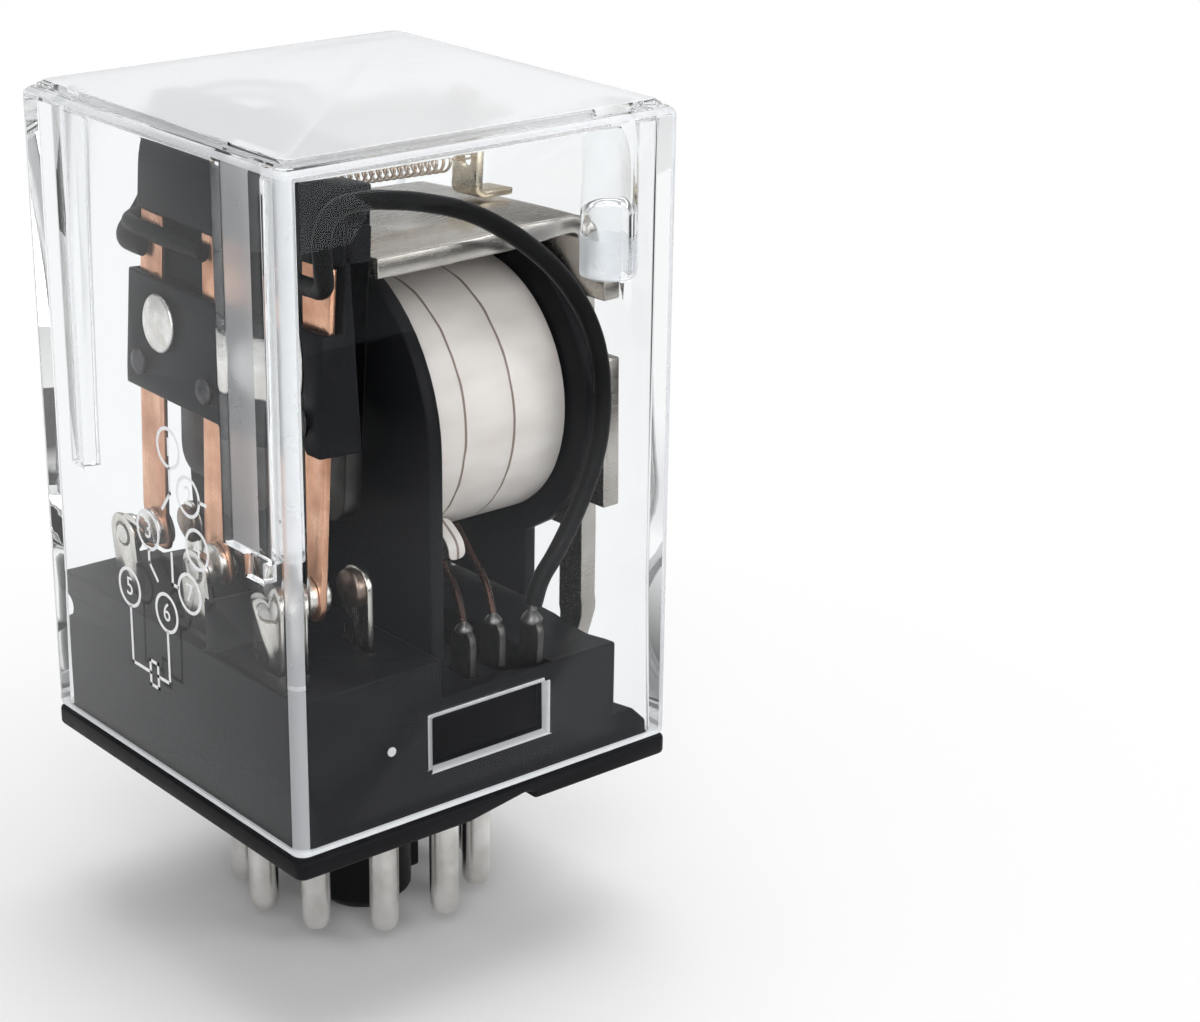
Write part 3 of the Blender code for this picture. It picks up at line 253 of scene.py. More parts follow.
class Link:
    # one socket of a node tree; sums of links become Math nodes
    def __init__(self, tree, socket=None):
        self.tree = tree
        self.socket = socket

    def add(self, kind, settings=None, inputs=None, output=0):
        node = self.tree.nodes.new(kind)
        for name, value in (settings or {}).items():
            setattr(node, name, value)
        for name, value in (inputs or {}).items():
            if isinstance(value, Link):
                self.tree.links.new(value.socket, node.inputs[name])
            else:
                node.inputs[name].default_value = value
        return Link(self.tree, node.outputs[output])

    def maths(self, operation, first, second=0.0):
        return self.add("ShaderNodeMath", {"operation": operation}, {0: first, 1: second})

    def __add__(self, other):
        return self.maths("ADD", self, other)

    def __sub__(self, other):
        return self.maths("SUBTRACT", self, other)

    def __rsub__(self, other):
        return self.maths("SUBTRACT", other, self)

    def __mul__(self, other):
        return self.maths("MULTIPLY", self, other)

    def __lt__(self, other):
        return self.maths("LESS_THAN", self, other)

    def __gt__(self, other):
        return self.maths("GREATER_THAN", self, other)

    def __abs__(self):
        return self.maths("ABSOLUTE", self)

    __radd__ = __add__
    __rmul__ = __mul__

    def spread(self, low, high):
        # stretches the values between low and high over 0 to 1
        return self.add("ShaderNodeMapRange", {"clamp": True}, {0: self, 1: low, 2: high})

    def mix(self, first, second):
        # this link is the mask between two colours
        colours = [(*c, 1) if isinstance(c, tuple) else c for c in (first, second)]
        return self.add("ShaderNodeMix", {"data_type": "RGBA"}, {0: self, 6: colours[0], 7: colours[1]}, 2)


def newFinish(name, constants):
    finish = bpy.data.materials.new(name)
    finish.use_nodes = True
    shader = finish.node_tree.nodes["Principled BSDF"]
    for socket, value in constants.items():
        shader.inputs[socket].default_value = value
    return finish, Link(finish.node_tree), shader


def feed(link, shader, socket):
    link.tree.links.new(link.socket, shader.inputs[socket])


def place(root):
    return root.add("ShaderNodeTexCoord", output="Object")


def noise(root, size, detail=3.0, stretch=(1, 1, 1)):
    # cloudy pattern with spots about size millimetres across, longer where stretch is larger
    spot = root.add("ShaderNodeMapping", {}, {"Vector": place(root), "Scale": [1 / s for s in stretch]})
    return root.add("ShaderNodeTexNoise", {}, {"Vector": spot, "Scale": 1 / (size * mm), "Detail": detail})


def bump(root, height, depth, strength=0.5):
    return root.add("ShaderNodeBump", {}, {"Height": height, "Distance": depth * mm, "Strength": strength})


def metalFinish(name, look):
    finish, root, shader = newFinish(name, {"Metallic": look.get("metal", 1.0)})
    cloud = noise(root, look["cloud"], 4.0).spread(0.35, 0.68)
    grain = noise(root, look["grain"], 2.0, look["stretch"])
    pits = noise(root, look["pits"], 2.0)
    feed(cloud.mix(look["colour"], look["tarnish"]), shader, "Base Color")
    rough = look["rough"] + look["roughSpan"] * (grain - 0.5) + 0.5 * look["roughSpan"] * cloud
    feed(rough, shader, "Roughness")
    feed(bump(root, grain * 0.6 + pits * 0.4, look["depth"]), shader, "Normal")
    return finish


def mouldedFinish(name, look):
    finish, root, shader = newFinish(name, {"Specular IOR Level": look["gloss"]})
    flow = noise(root, look["flow"], 3.0, look["stretch"]).spread(0.3, 0.7)
    grain = noise(root, look["grain"], 1.0)
    dust = noise(root, look["dust"], 1.0).spread(0.66, 0.8)
    body = flow.mix(look["colour"], look["sheen"])
    feed((dust * look["dustAmount"]).mix(body, look["dustColour"]), shader, "Base Color")
    feed(look["rough"] + look["roughSpan"] * (grain - 0.5) + dust * 0.2, shader, "Roughness")
    feed(bump(root, grain + flow * 0.5, look["depth"]), shader, "Normal")
    return finish


metalLooks = {
    "nickelPlate": {"colour": (0.79, 0.77, 0.73), "tarnish": (0.66, 0.63, 0.58), "rough": 0.2, "roughSpan": 0.16,
                    "cloud": 3.0, "grain": 0.25, "stretch": (1, 1, 9), "pits": 0.35, "depth": 0.012},
    # the yoke's nickel plate made darker than the rest: painted shade standing in for the dark reflections on the
    # yoke
    "yokeNickelPaintedShade": {"colour": (0.62, 0.59, 0.55), "tarnish": (0.48, 0.45, 0.41), "rough": 0.22, "roughSpan": 0.16,
                   "cloud": 4.0, "grain": 0.35, "stretch": (9, 1, 1), "pits": 0.5, "depth": 0.012},
    "wornSilver": {"colour": (0.36, 0.29, 0.25), "tarnish": (0.20, 0.14, 0.11), "rough": 0.32, "roughSpan": 0.2,
                   "cloud": 0.9, "grain": 0.25, "stretch": (1, 1, 1), "pits": 0.3, "depth": 0.012},
    "pinNickel": {"colour": (0.80, 0.79, 0.77), "tarnish": (0.62, 0.60, 0.57), "rough": 0.16, "roughSpan": 0.18,
                  "cloud": 2.2, "grain": 0.2, "stretch": (1, 1, 14), "pits": 0.5, "depth": 0.014},
    "bladeCopper": {"colour": (0.86, 0.50, 0.34), "tarnish": (0.62, 0.32, 0.20), "rough": 0.26, "roughSpan": 0.2,
                    "cloud": 2.4, "grain": 0.18, "stretch": (1, 1, 12), "pits": 0.3, "depth": 0.01},
    "contactSilver": {"colour": (0.90, 0.89, 0.87), "tarnish": (0.72, 0.69, 0.64), "rough": 0.27, "roughSpan": 0.2,
                      "cloud": 0.9, "grain": 0.2, "stretch": (1, 1, 1), "pits": 0.25, "depth": 0.015},
    "darkRivet": {"colour": (0.11, 0.11, 0.115), "tarnish": (0.05, 0.05, 0.055), "rough": 0.36, "roughSpan": 0.2,
                  "cloud": 0.8, "grain": 0.15, "stretch": (1, 1, 1), "pits": 0.25, "depth": 0.012},
    "springSteel": {"colour": (0.80, 0.76, 0.70), "tarnish": (0.66, 0.52, 0.40), "rough": 0.2, "roughSpan": 0.12,
                    "cloud": 1.2, "grain": 0.1, "stretch": (1, 1, 1), "pits": 0.15, "depth": 0.004},
    "anchorBrass": {"colour": (0.80, 0.72, 0.58), "tarnish": (0.58, 0.49, 0.36), "rough": 0.24, "roughSpan": 0.18,
                    "cloud": 1.6, "grain": 0.2, "stretch": (6, 1, 1), "pits": 0.3, "depth": 0.01},
    # the armature's nickel plate painted near-black: painted shade for the armature, which sits in shadow behind
    # the carrier
    "paintedShadeNickel": {"colour": (0.10, 0.098, 0.095), "tarnish": (0.05, 0.048, 0.046), "rough": 0.36, "roughSpan": 0.2,
                  "cloud": 2.5, "grain": 0.5, "stretch": (1, 1, 9), "pits": 0.6, "depth": 0.01},
    # tinned lugs painted dark grey: painted shade for the lugs standing in the shadow under the coil
    "paintedShadeTin": {"colour": (0.12, 0.115, 0.11), "tarnish": (0.06, 0.057, 0.053), "rough": 0.38, "roughSpan": 0.2,
                "cloud": 1.6, "grain": 0.25, "stretch": (1, 1, 6), "pits": 0.3, "depth": 0.012},
    # solder kept dark grey: painted shade, like the lugs it sits on
    "tinSolder": {"colour": (0.24, 0.24, 0.235), "tarnish": (0.13, 0.13, 0.125), "rough": 0.34, "roughSpan": 0.26,
                  "cloud": 0.7, "grain": 0.3, "stretch": (1, 1, 1), "pits": 0.2, "depth": 0.03},
    "coilWire": {"colour": (0.055, 0.024, 0.015), "tarnish": (0.03, 0.013, 0.008), "rough": 0.24, "roughSpan": 0.12,
                 "cloud": 1.5, "grain": 0.2, "stretch": (1, 1, 1), "pits": 0.2, "depth": 0.006, "metal": 0.7},
}
mouldedLooks = {
    "blackMoulding": {"colour": (0.0045, 0.0047, 0.0056), "sheen": (0.008, 0.0084, 0.0102), "gloss": 0.12,
                      "rough": 0.42, "roughSpan": 0.14, "flow": 6.0, "stretch": (2.5, 1, 1), "grain": 1.4,
                      "dust": 1.1, "dustAmount": 0.05, "dustColour": (0.08, 0.08, 0.085), "depth": 0.006},
    "leadSleeve": {"colour": (0.003, 0.003, 0.0033), "sheen": (0.006, 0.006, 0.0064), "gloss": 0.1,
                   "rough": 0.4, "roughSpan": 0.14, "flow": 3.0, "stretch": (1, 1, 1), "grain": 1.2,
                   "dust": 0.9, "dustAmount": 0.05, "dustColour": (0.06, 0.06, 0.06), "depth": 0.006},
}
finishes = {name: metalFinish(name, look) for name, look in metalLooks.items()}
finishes.update({name: mouldedFinish(name, look) for name, look in mouldedLooks.items()})

clearLook = {"colour": (0.972, 0.982, 0.988), "bend": 1.38, "glint": (0.30, 0.31, 0.33), "rough": 0.004,
             "haze": 0.015, "wave": 9.0, "scuff": 3.0, "depth": 0.01}


def clearFinish(name, look):
    finish, root, shader = newFinish(name, {"Base Color": (*look["colour"], 1), "IOR": look["bend"],
                                            "Specular Tint": (*look["glint"], 1), "Transmission Weight": 1.0})
    scuffs = noise(root, look["scuff"], 1.0, (1, 1, 6)).spread(0.55, 0.8)
    feed(look["rough"] + look["haze"] * scuffs, shader, "Roughness")
    feed(bump(root, noise(root, look["wave"], 1.0), look["depth"], 0.3), shader, "Normal")
    return finish


# whitish, part-clear finishes for the cover: frost on the ribs and window cuts, painted highlight and painted
# reflection elsewhere
frostAndHighlightLooks = {
    # pale cut edges of the windows, and painted highlight on the foot rim, ledge bevels and post bottom
    "cutEdgeAndRimHighlight": {"colour": (0.93, 0.95, 0.97), "dull": (0.84, 0.87, 0.90), "bend": 1.5, "through": 0.45,
                "rough": 0.4, "roughSpan": 0.3, "grain": 0.2, "depth": 0.02},
    # frosted inner faces of the ribs, and painted highlight on the lower band of the corner post
    "ribFrostAndPostHighlight": {"colour": (0.90, 0.92, 0.95), "dull": (0.84, 0.87, 0.91), "bend": 1.5, "through": 0.76,
                 "rough": 0.3, "roughSpan": 0.15, "grain": 2.5, "depth": 0.01},
    # painted highlight on the rounded corners of the clear cover
    "cornerPaintedHighlight": {"colour": (0.93, 0.95, 0.98), "dull": (0.88, 0.91, 0.95), "bend": 1.5, "through": 0.6,
                    "rough": 0.25, "roughSpan": 0.15, "grain": 3.0, "depth": 0.008},
    # painted reflection of the light above, on the top of the cover
    "topPaintedReflection": {"colour": (0.97, 0.985, 1.0), "dull": (0.95, 0.97, 1.0), "bend": 1.5, "through": 0.28,
                "rough": 0.2, "roughSpan": 0.15, "grain": 4.0, "depth": 0.006},
}


def frostFinish(name, look):
    finish, root, shader = newFinish(name, {"IOR": look["bend"], "Transmission Weight": look["through"]})
    grain = noise(root, look["grain"], 2.0)
    feed(grain.spread(0.3, 0.7).mix(look["colour"], look["dull"]), shader, "Base Color")
    feed(look["rough"] + look["roughSpan"] * (grain - 0.5), shader, "Roughness")
    feed(bump(root, grain, look["depth"]), shader, "Normal")
    return finish


tapeLook = {"colour": (0.81, 0.78, 0.75), "aged": (0.64, 0.59, 0.55), "line": (0.16, 0.10, 0.07),
            "lines": (2.45, 7.05), "lineHalf": 0.11, "rough": 0.42, "fibre": 0.14, "crease": 2.2, "depth": 0.035}


def tapeFinish(name, look):
    finish, root, shader = newFinish(name, {"Specular IOR Level": 0.45})
    along = root.add("ShaderNodeSeparateXYZ", {}, {0: place(root)})
    wander = (noise(root, 2.5, 1.0) - 0.5) * (0.25 * mm)
    printed = 0.0
    for middle in look["lines"]:
        printed = (abs(along + wander - middle * mm) < look["lineHalf"] * mm) + printed
    fibre = noise(root, look["fibre"], 2.0, (1, 5, 5))
    crease = noise(root, look["crease"], 2.0, (3, 1, 1)).spread(0.3, 0.75)
    paper = (crease * 0.7 + fibre * 0.3).mix(look["colour"], look["aged"])
    feed((printed * 0.85).mix(paper, look["line"]), shader, "Base Color")
    feed(look["rough"] + 0.2 * (fibre - 0.5) - printed * 0.1, shader, "Roughness")
    feed(bump(root, crease + fibre * 0.35, look["depth"]), shader, "Normal")
    return finish


inkLook = {"colour": (0.95, 0.95, 0.96), "worn": (0.82, 0.83, 0.85), "grain": 0.3, "rough": 0.5}


def inkFinish(name, look):
    finish, root, shader = newFinish(name, {"Specular IOR Level": 0.4})
    grain = noise(root, look["grain"], 3.0)
    feed(grain.spread(0.45, 0.75).mix(look["colour"], look["worn"]), shader, "Base Color")
    feed(look["rough"] + 0.2 * (grain - 0.5), shader, "Roughness")
    feed(bump(root, grain, 0.01), shader, "Normal")
    return finish


finishes["clearCover"] = clearFinish("clearCover", clearLook)
finishes.update({name: frostFinish(name, look) for name, look in frostAndHighlightLooks.items()})
finishes["coilTape"] = tapeFinish("coilTape", tapeLook)
finishes["printInk"] = inkFinish("printInk", inkLook)
print("finishes:", len(finishes))


# Clear cover: one shell drawn down outside and up inside, ribs and post added, windows cut

coverShape = {"wall": 1.3, "roof": 1.5, "corner": 0.85, "cornerSteps": 6, "stepInset": 0.8, "stepDrop": 0.55,
              "relief": 0.25, "reliefTop": 15.3, "ribDepth": 1.6, "ribBottom": 23.3, "ribSplit": -11.3,
              "frontRib": (-13.9, -7.9), "tongue": (-12.8, -10.6), "tongueBottom": 21.6, "rearRib": (12.0, 13.6),
              "post": (13.1, -14.2), "postRadius": 2.05, "postWall": 0.6, "postBottom": 39.5, "postHole": 45.6,
              "postHighlightHeight": 3.0, "postChamfer": 0.15, "tick": (15.05, 15.4), "windowHalf": 5.5, "windowBottom": 5.2,
              "windowTop": 9.6, "edge": 0.22, "footBand": 0.45, "sunk": 0.6}


def dressCover(cover, shape, low, high):
    # frosted ribs, painted highlight on the corners, rims, ledge and post, a painted reflection on the top, and
    # pale cut edges
    for name in frostAndHighlightLooks:
        cover.data.materials.append(finishes[name])
    cutEdgeAndRimHighlight, ribFrostAndPostHighlight, cornerPaintedHighlight, topPaintedReflection = range(1, len(frostAndHighlightLooks) + 1)
    half = high.x
    inner = half - shape["wall"]
    ledge = high.z - shape["stepDrop"]
    tickLow, tickHigh = shape["tick"]
    for face in cover.data.polygons:
        x, y, z = face.center / mm
        acrossX, acrossY, rise = (abs(value) for value in face.normal)
        inWindow = abs(x) < shape["windowHalf"] + 0.1 and shape["windowBottom"] - 0.1 < z < shape["windowTop"] + 0.1
        onRib = (0.2 - inner < x < 0.2 - inner + shape["ribDepth"] and shape["tongueBottom"] - 0.3 < z < ledge - 2
                 and (y < shape["frontRib"][1] + 0.3 or y > shape["rearRib"][0] - 0.3) and abs(y) < inner - 0.1)
        onCorner = rise < 0.3 and abs(x) + abs(y) > 2 * half - shape["corner"] * 1.1
        fromPost = math.hypot(x - shape["post"][0], y - shape["post"][1]) - shape["postRadius"]
        onTick = onCorner and max(x, y) < 0 and tickLow < z < tickHigh
        # window cut faces: pale cut edges; foot band: painted highlight on the rim
        if inWindow and acrossY < 0.8 or z < low.z + shape["footBand"]:
            face.material_index = cutEdgeAndRimHighlight
        # the tick on the corner, and painted highlight on the post's bottom ring
        elif onTick or fromPost < 0.1 and z < shape["postBottom"] + 0.3:
            face.material_index = cutEdgeAndRimHighlight
        # lower band of the corner post: painted highlight
        elif -0.2 < fromPost < 0.1 and z < shape["postBottom"] + shape["postHighlightHeight"]:
            face.material_index = ribFrostAndPostHighlight
        # ledge bevels: painted highlight
        elif 0.2 < rise < 0.95 and ledge - shape["stepInset"] / 2 < z < ledge and max(abs(x), abs(y)) > half - 1:
            face.material_index = cutEdgeAndRimHighlight
        elif onRib and face.normal.x > 0.8 and y > shape["ribSplit"]:
            face.material_index = ribFrostAndPostHighlight
        # rounded corners: painted highlight
        elif onCorner and min(acrossX, acrossY) > 0.1:
            face.material_index = cornerPaintedHighlight
        # top face: painted reflection
        elif face.normal.z > 0.9 and z > ledge:
            face.material_index = topPaintedReflection


def makeCover(shape):
    low, high = nodeSpan("cover")
    half = high.x
    inner = half - shape["wall"]
    foot = inner + shape["relief"]
    step = half - shape["stepInset"]
    slope = shape["stepInset"] / 2
    roof = high.z - shape["roof"]
    levels = [(step - slope, high.z), (step, high.z - slope), (step, high.z - shape["stepDrop"]),
              (half - slope, high.z - shape["stepDrop"]), (half, high.z - shape["stepDrop"] - slope),
              (half, shape["tick"][1]), (half, shape["tick"][0]), (half, low.z + shape["footBand"]), (half, low.z),
              (foot, low.z), (inner, shape["reliefTop"]), (inner, roof)]
    bpy.ops.object.select_all(action="DESELECT")
    bpy.ops.mesh.primitive_plane_add(size=2 * levels[0][0] * mm, location=(0, 0, levels[0][1] * mm))
    cover = nameNew("clearCover")
    settlePlace()
    bpy.ops.object.mode_set(mode="EDIT")
    bpy.ops.mesh.select_mode(type="VERT")
    bpy.ops.mesh.select_all(action="SELECT")
    bpy.ops.mesh.bevel(affect="VERTICES", offset=shape["corner"] * mm, segments=shape["cornerSteps"])
    bpy.ops.mesh.select_mode(type="EDGE")
    bpy.ops.mesh.select_all(action="SELECT")
    for (nearHalf, nearHeight), (reach, height) in zip(levels, levels[1:]):
        move = (0, 0, (height - nearHeight) * mm)
        bpy.ops.mesh.extrude_edges_move(TRANSFORM_OT_translate={"value": move})
        grow = reach / nearHalf
        bpy.ops.transform.resize(value=(grow, grow, 1), center_override=(0, 0, 0))
    bpy.ops.mesh.edge_face_add()
    mergeAll(cover)

    sunk = shape["sunk"]
    wallSide = -inner - sunk
    ribSide = shape["ribDepth"] - inner
    added = []
    for name in ("frontRib", "rearRib"):
        rib = addBlock(name, (wallSide, shape[name][0], shape["ribBottom"]), (ribSide, shape[name][1], roof + sunk))
        bpy.ops.object.mode_set(mode="EDIT")
        bpy.ops.mesh.select_all(action="SELECT")
        bpy.ops.mesh.bisect(plane_co=(0, shape["ribSplit"] * mm, 0), plane_no=(0, 1, 0))
        bpy.ops.object.mode_set(mode="OBJECT")
        added.append(rib)
    added.append(addBlock("tongue", (wallSide, shape["tongue"][0], shape["tongueBottom"]),
                          (ribSide - shape["ribDepth"] / 3, shape["tongue"][1], shape["ribBottom"] + sunk)))
    radius, tip = shape["postRadius"], shape["postBottom"]
    hollow = radius - shape["postWall"]
    dome = [(hollow * math.sin(math.radians(a)), shape["postHole"] - hollow * (1 - math.cos(math.radians(a))))
            for a in range(0, 91, 15)]
    chamfer = shape["postChamfer"]
    post = turnPiece("cornerPost", dome + [(hollow, tip), (radius - chamfer, tip), (radius, tip + chamfer),
                                           (radius, tip + shape["postHighlightHeight"]), (radius, roof + sunk),
                                           (0, roof + sunk)], 32)
    post.location = (shape["post"][0] * mm, shape["post"][1] * mm, 0)
    added.append(post)
    for tool in added:
        applyModifier(cover, "BOOLEAN", operation="UNION", solver="EXACT", object=tool)
        bpy.data.objects.remove(tool)
    window = addBlock("window", (-shape["windowHalf"], -half - sunk, shape["windowBottom"]),
                      (shape["windowHalf"], half + sunk, shape["windowTop"]))
    applyModifier(cover, "BOOLEAN", operation="DIFFERENCE", solver="EXACT", object=window)
    bpy.data.objects.remove(window)
    mergeAll(cover, turnOut=False)
    softenEdges(cover, shape["edge"], 2, 32)
    finishPiece(cover, finishes["clearCover"], relayBody, ["cover"], crease=30)
    dressCover(cover, shape, low, high)
    cover.visible_shadow = False  # the light reaches the inside
    cover.visible_diffuse = False


gateShape = {"x": -9.27, "z": 8.05, "radius": 0.36, "rise": 0.09}


def makeGate(shape):
    # small moulding mark on the front of the cover
    rise = shape["rise"]
    mark = turnPiece("gateMark", [(0, -rise), (shape["radius"], -rise), (shape["radius"], rise * 0.4),
                                  (shape["radius"] * 0.7, rise), (0, rise * 0.7)], 20)
    mark.location = (shape["x"] * mm, nodeSpan("cover")[0].y * mm, shape["z"] * mm)
    mark.rotation_euler = (math.radians(90), 0, 0)
    finishPiece(mark, finishes["cutEdgeAndRimHighlight"], relayBody)


makeCover(coverShape)
makeGate(gateShape)
print("cover shaped")


# Turned pins with a rounded, soldered tip

pinShape = {"radius": 1.18, "tip": 1.3, "rim": 0.62, "dimple": 0.18, "collar": 0.12, "shoulder": -0.9,
            "collarBottom": -0.3, "collarTop": -0.02}


def makePins(shape):
    low, high = nodeSpan("pin_01")
    radius, rim = shape["radius"], shape["rim"]
    profile = [(0, low.z + shape["dimple"]), (rim * 0.6, low.z + shape["dimple"] * 0.8), (rim, low.z)]
    for angle in range(15, 91, 15):
        turn = math.radians(angle)
        profile.append((rim + (radius - rim) * math.sin(turn), low.z + shape["tip"] * (1 - math.cos(turn))))
    collar, collarTop = radius + shape["collar"], shape["collarTop"]
    profile += [(radius, shape["shoulder"]), (collar, shape["collarBottom"]), (collar, collarTop),
                (radius, collarTop), (radius, high.z), (0, high.z)]
    master = turnPiece("pinMaster", profile, 40)
    for number in range(1, 12):
        node = f"pin_{number:02d}"
        pin = copyPiece(master, f"turnedPin{number:02d}")
        middle = nodeMiddle(node)
        pin.location = (middle.x * mm, middle.y * mm, 0)
        finishPiece(pin, finishes["pinNickel"], relayBody, [node])
    bpy.data.objects.remove(master)


makePins(pinShape)


# Contacts and rivets

buttonShape = {"radius": 1.5, "edge": 0.28, "crown": 0.16, "tail": 0.75, "tailRise": 0.14, "foot": 0.05,
               "movingHalf": 1.14, "waist": 0.2, "waistHalf": 0.26, "waistEdge": 0.3}
rivetShape = {"carrier": {"head": 2.25, "thick": 0.6, "shank": 0.9, "drop": 0.8, "edge": 0.25, "crown": 0.3},
              "blade": {"head": 1.0, "thick": 0.6, "shank": 0.6, "drop": 0, "edge": 0.25, "crown": 0.3}}


def domedHead(radius, edge, crown, top):
    # from the outer edge of a button's face to its middle, both above a flat at top - edge - crown
    rim = [(radius - edge * (1 - math.cos(math.radians(a))), top - crown - edge * (1 - math.sin(math.radians(a))))
           for a in range(0, 91, 22)]
    return rim + [((radius - edge) * s, top - crown * s * s) for s in (0.75, 0.5, 0.25, 0)]


def makeContacts(shape):
    radius = shape["radius"]
    for number in poleRows:
        for kind, facing in (("closed", 1), ("open", -1)):
            node = f"{kind}_contact_{number}"
            low, high = nodeSpan(node)
            stripLow, stripHigh = nodeSpan(f"{kind}_terminal_{number}")
            thick = stripHigh.x - stripLow.x
            length = high.x - low.x
            profile = [(0, -shape["tailRise"]), (shape["tail"], -shape["tailRise"] * 0.6), (shape["tail"], thick)]
            profile += [(radius - shape["foot"], thick), (radius, thick + shape["foot"])]
            profile += domedHead(radius, shape["edge"], shape["crown"], length)
            button = turnPiece(f"{kind}Button{number}", profile)
            middle = nodeMiddle(node)
            start = low.x if facing > 0 else high.x
            button.matrix_world = alongX((start, middle.y, middle.z), 0 if facing > 0 else math.pi)
            finish = finishes["contactSilver" if facing > 0 else "wornSilver"]
            finishPiece(button, finish, relayBody, [node])
        node = f"moving_contact_{number}"
        side = domedHead(radius, shape["edge"], shape["crown"], shape["movingHalf"])
        waist, waistHalf, waistEdge = radius - shape["waist"], shape["waistHalf"], shape["waistEdge"]
        profile = [(r, -z) for r, z in reversed(side)] + [(radius, -waistEdge), (waist, -waistHalf),
                                                          (waist, waistHalf), (radius, waistEdge)] + side
        button = turnPiece(f"movingButton{number}", profile)
        button.matrix_world = alongX(nodeMiddle(node), restTilt)
        finishPiece(button, finishes["contactSilver"], swingBody, [node])


def makeRivets(shapes):
    for kind, finish, slot in (("carrier", "contactSilver", "silver"), ("blade", "darkRivet", "dark_steel")):
        shape = shapes[kind]
        for number in (1, 2) if kind == "carrier" else (1, 2, 3):
            node = f"{kind}_rivet_{number}"
            low, high = nodeSpan(node)
            length = (high.x - low.x) - math.sin(restTilt) * (shape["head"] + shape["shank"])
            half = length / 2
            head = domedHead(shape["head"], shape["edge"], shape["crown"], half)
            profile = [(0, -half), (shape["shank"], -half), (shape["shank"], half - shape["thick"]),
                       (shape["head"], half - shape["thick"])] + head
            rivet = turnPiece(f"{kind}Rivet{number}", profile, 56)
            middle = nodeMiddle(node) - Vector((0, 0, shape["drop"]))
            rivet.matrix_world = alongX(middle, restTilt + math.pi)
            finishPiece(rivet, finishes[finish], swingBody, [node])


makeContacts(buttonShape)
makeRivets(rivetShape)
print("pins, contacts and rivets turned")


# Rigid pieces that keep the CAD form, with rounded edges

baseShape = {"corner": 1.25, "sharper": 0.6, "flangeTop": 1.7, "lug": (5.3, 17.0), "lugSpan": (5.0, 10.0),
             "lugDepth": 0.5}


def reworkBase(base, shape=baseShape):
    # sharper flange corners, and snap lugs that sit deeper in their windows
    half = nodeSpan("base")[1].x
    start = half - shape["corner"]
    for sideX, sideY in ((-1, -1), (-1, 1), (1, -1), (1, 1)):
        pickPoints(base, lambda x, y, z: sideX * x > start and sideY * y > start and z < shape["flangeTop"])
        bpy.ops.transform.resize(value=(shape["sharper"], shape["sharper"], 1),
                                 center_override=(sideX * half * mm, sideY * half * mm, 0))
    lugHalf, lugFace = shape["lug"]
    lugLow, lugHigh = shape["lugSpan"]
    for side in (-1, 1):
        pickPoints(base, lambda x, y, z: side * y > lugFace and abs(x) < lugHalf and lugLow < z < lugHigh)
        bpy.ops.transform.translate(value=(0, -side * shape["lugDepth"] * mm, 0))
    bpy.ops.object.mode_set(mode="OBJECT")


rigidPieces = {
    "base": {"edge": 0.22, "finish": "blackMoulding", "slot": "black_moulding", "rework": reworkBase},
    "bobbin": {"edge": 0.18, "finish": "blackMoulding", "slot": "black_moulding"},
    "contact_carrier": {"edge": 0.2, "finish": "blackMoulding", "slot": "black_moulding", "body": swingBody},
    "yoke": {"edge": 0.16, "finish": "yokeNickelPaintedShade", "slot": "nickel_plate"},
    "core": {"edge": 0.15, "finish": "nickelPlate", "slot": "nickel_plate"},
    "armature": {"edge": 0.14, "finish": "paintedShadeNickel", "slot": "nickel_plate", "body": swingBody},
    "spring_anchor": {"edge": 0.1, "finish": "anchorBrass", "slot": "anchor_plate"},
}
for number in poleRows:
    strip = {"edge": 0.07, "finish": "nickelPlate", "slot": "nickel_plate"}
    rigidPieces.update({f"closed_terminal_{number}": strip, f"open_terminal_{number}": strip,
                        f"common_lug_{number}": {**strip, "finish": "paintedShadeTin"}})
    rigidPieces[f"moving_blade_{number}"] = {"edge": 0.07, "finish": "bladeCopper", "slot": "copper",
                                             "body": swingBody}
for number in (1, 2):
    rigidPieces[f"coil_lug_{number}"] = {"edge": 0.07, "finish": "paintedShadeTin", "slot": "nickel_plate"}
for node, shape in rigidPieces.items():
    piece = shapedCopy(node, shape["edge"], shape.get("rework"))
    finishPiece(piece, finishes[shape["finish"]], shape.get("body", relayBody), [node])
print("rigid pieces:", len(rigidPieces))


# Coil: a winding with a ridge for each turn, and tape in three bands

coilShape = {"wire": 0.24, "bore": 4.6, "groove": 0.08, "bands": (2.45, 7.05), "bandStep": 0.05, "bandGap": 0.02,
             "bandEdge": 0.16, "tapeInner": 10.3}


def makeCoil(shape):
    low, high = nodeSpan("winding")
    radius = (high.z - low.z) / 2
    turns = round((high.x - low.x) / shape["wire"])
    pitch = (high.x - low.x) / turns
    bore, groove = shape["bore"], radius - shape["groove"]
    profile = [(bore, 0)]
    for turn in range(turns):
        profile += [(groove, turn * pitch), (radius, (turn + 0.5) * pitch)]
    profile += [(groove, turns * pitch), (bore, turns * pitch), (bore, 0)]
    winding = turnPiece("copperWinding", profile, 72)
    winding.matrix_world = alongX((low.x, 0, coilHeight))
    finishPiece(winding, finishes["coilWire"], relayBody, ["winding"], crease=80)

    low, high = nodeSpan("coil_tape")
    outer = (high.z - low.z) / 2
    dip, gap, edge = outer - shape["bandStep"], shape["bandGap"], shape["bandEdge"]
    edges = [low.x] + list(shape["bands"]) + [high.x]
    profile = [(shape["tapeInner"], 0)]
    for near, far in zip(edges, edges[1:]):
        near, far = near - low.x, far - low.x
        profile += [(dip, near + gap), (outer, near + edge), (outer, far - edge), (dip, far - gap)]
    profile += [(shape["tapeInner"], high.x - low.x), (shape["tapeInner"], 0)]
    tape = turnPiece("tapeWrap", profile, 96)
    tape.matrix_world = alongX((low.x, 0, coilHeight))
    finishPiece(tape, finishes["coilTape"], relayBody, ["coil_tape"], crease=50)


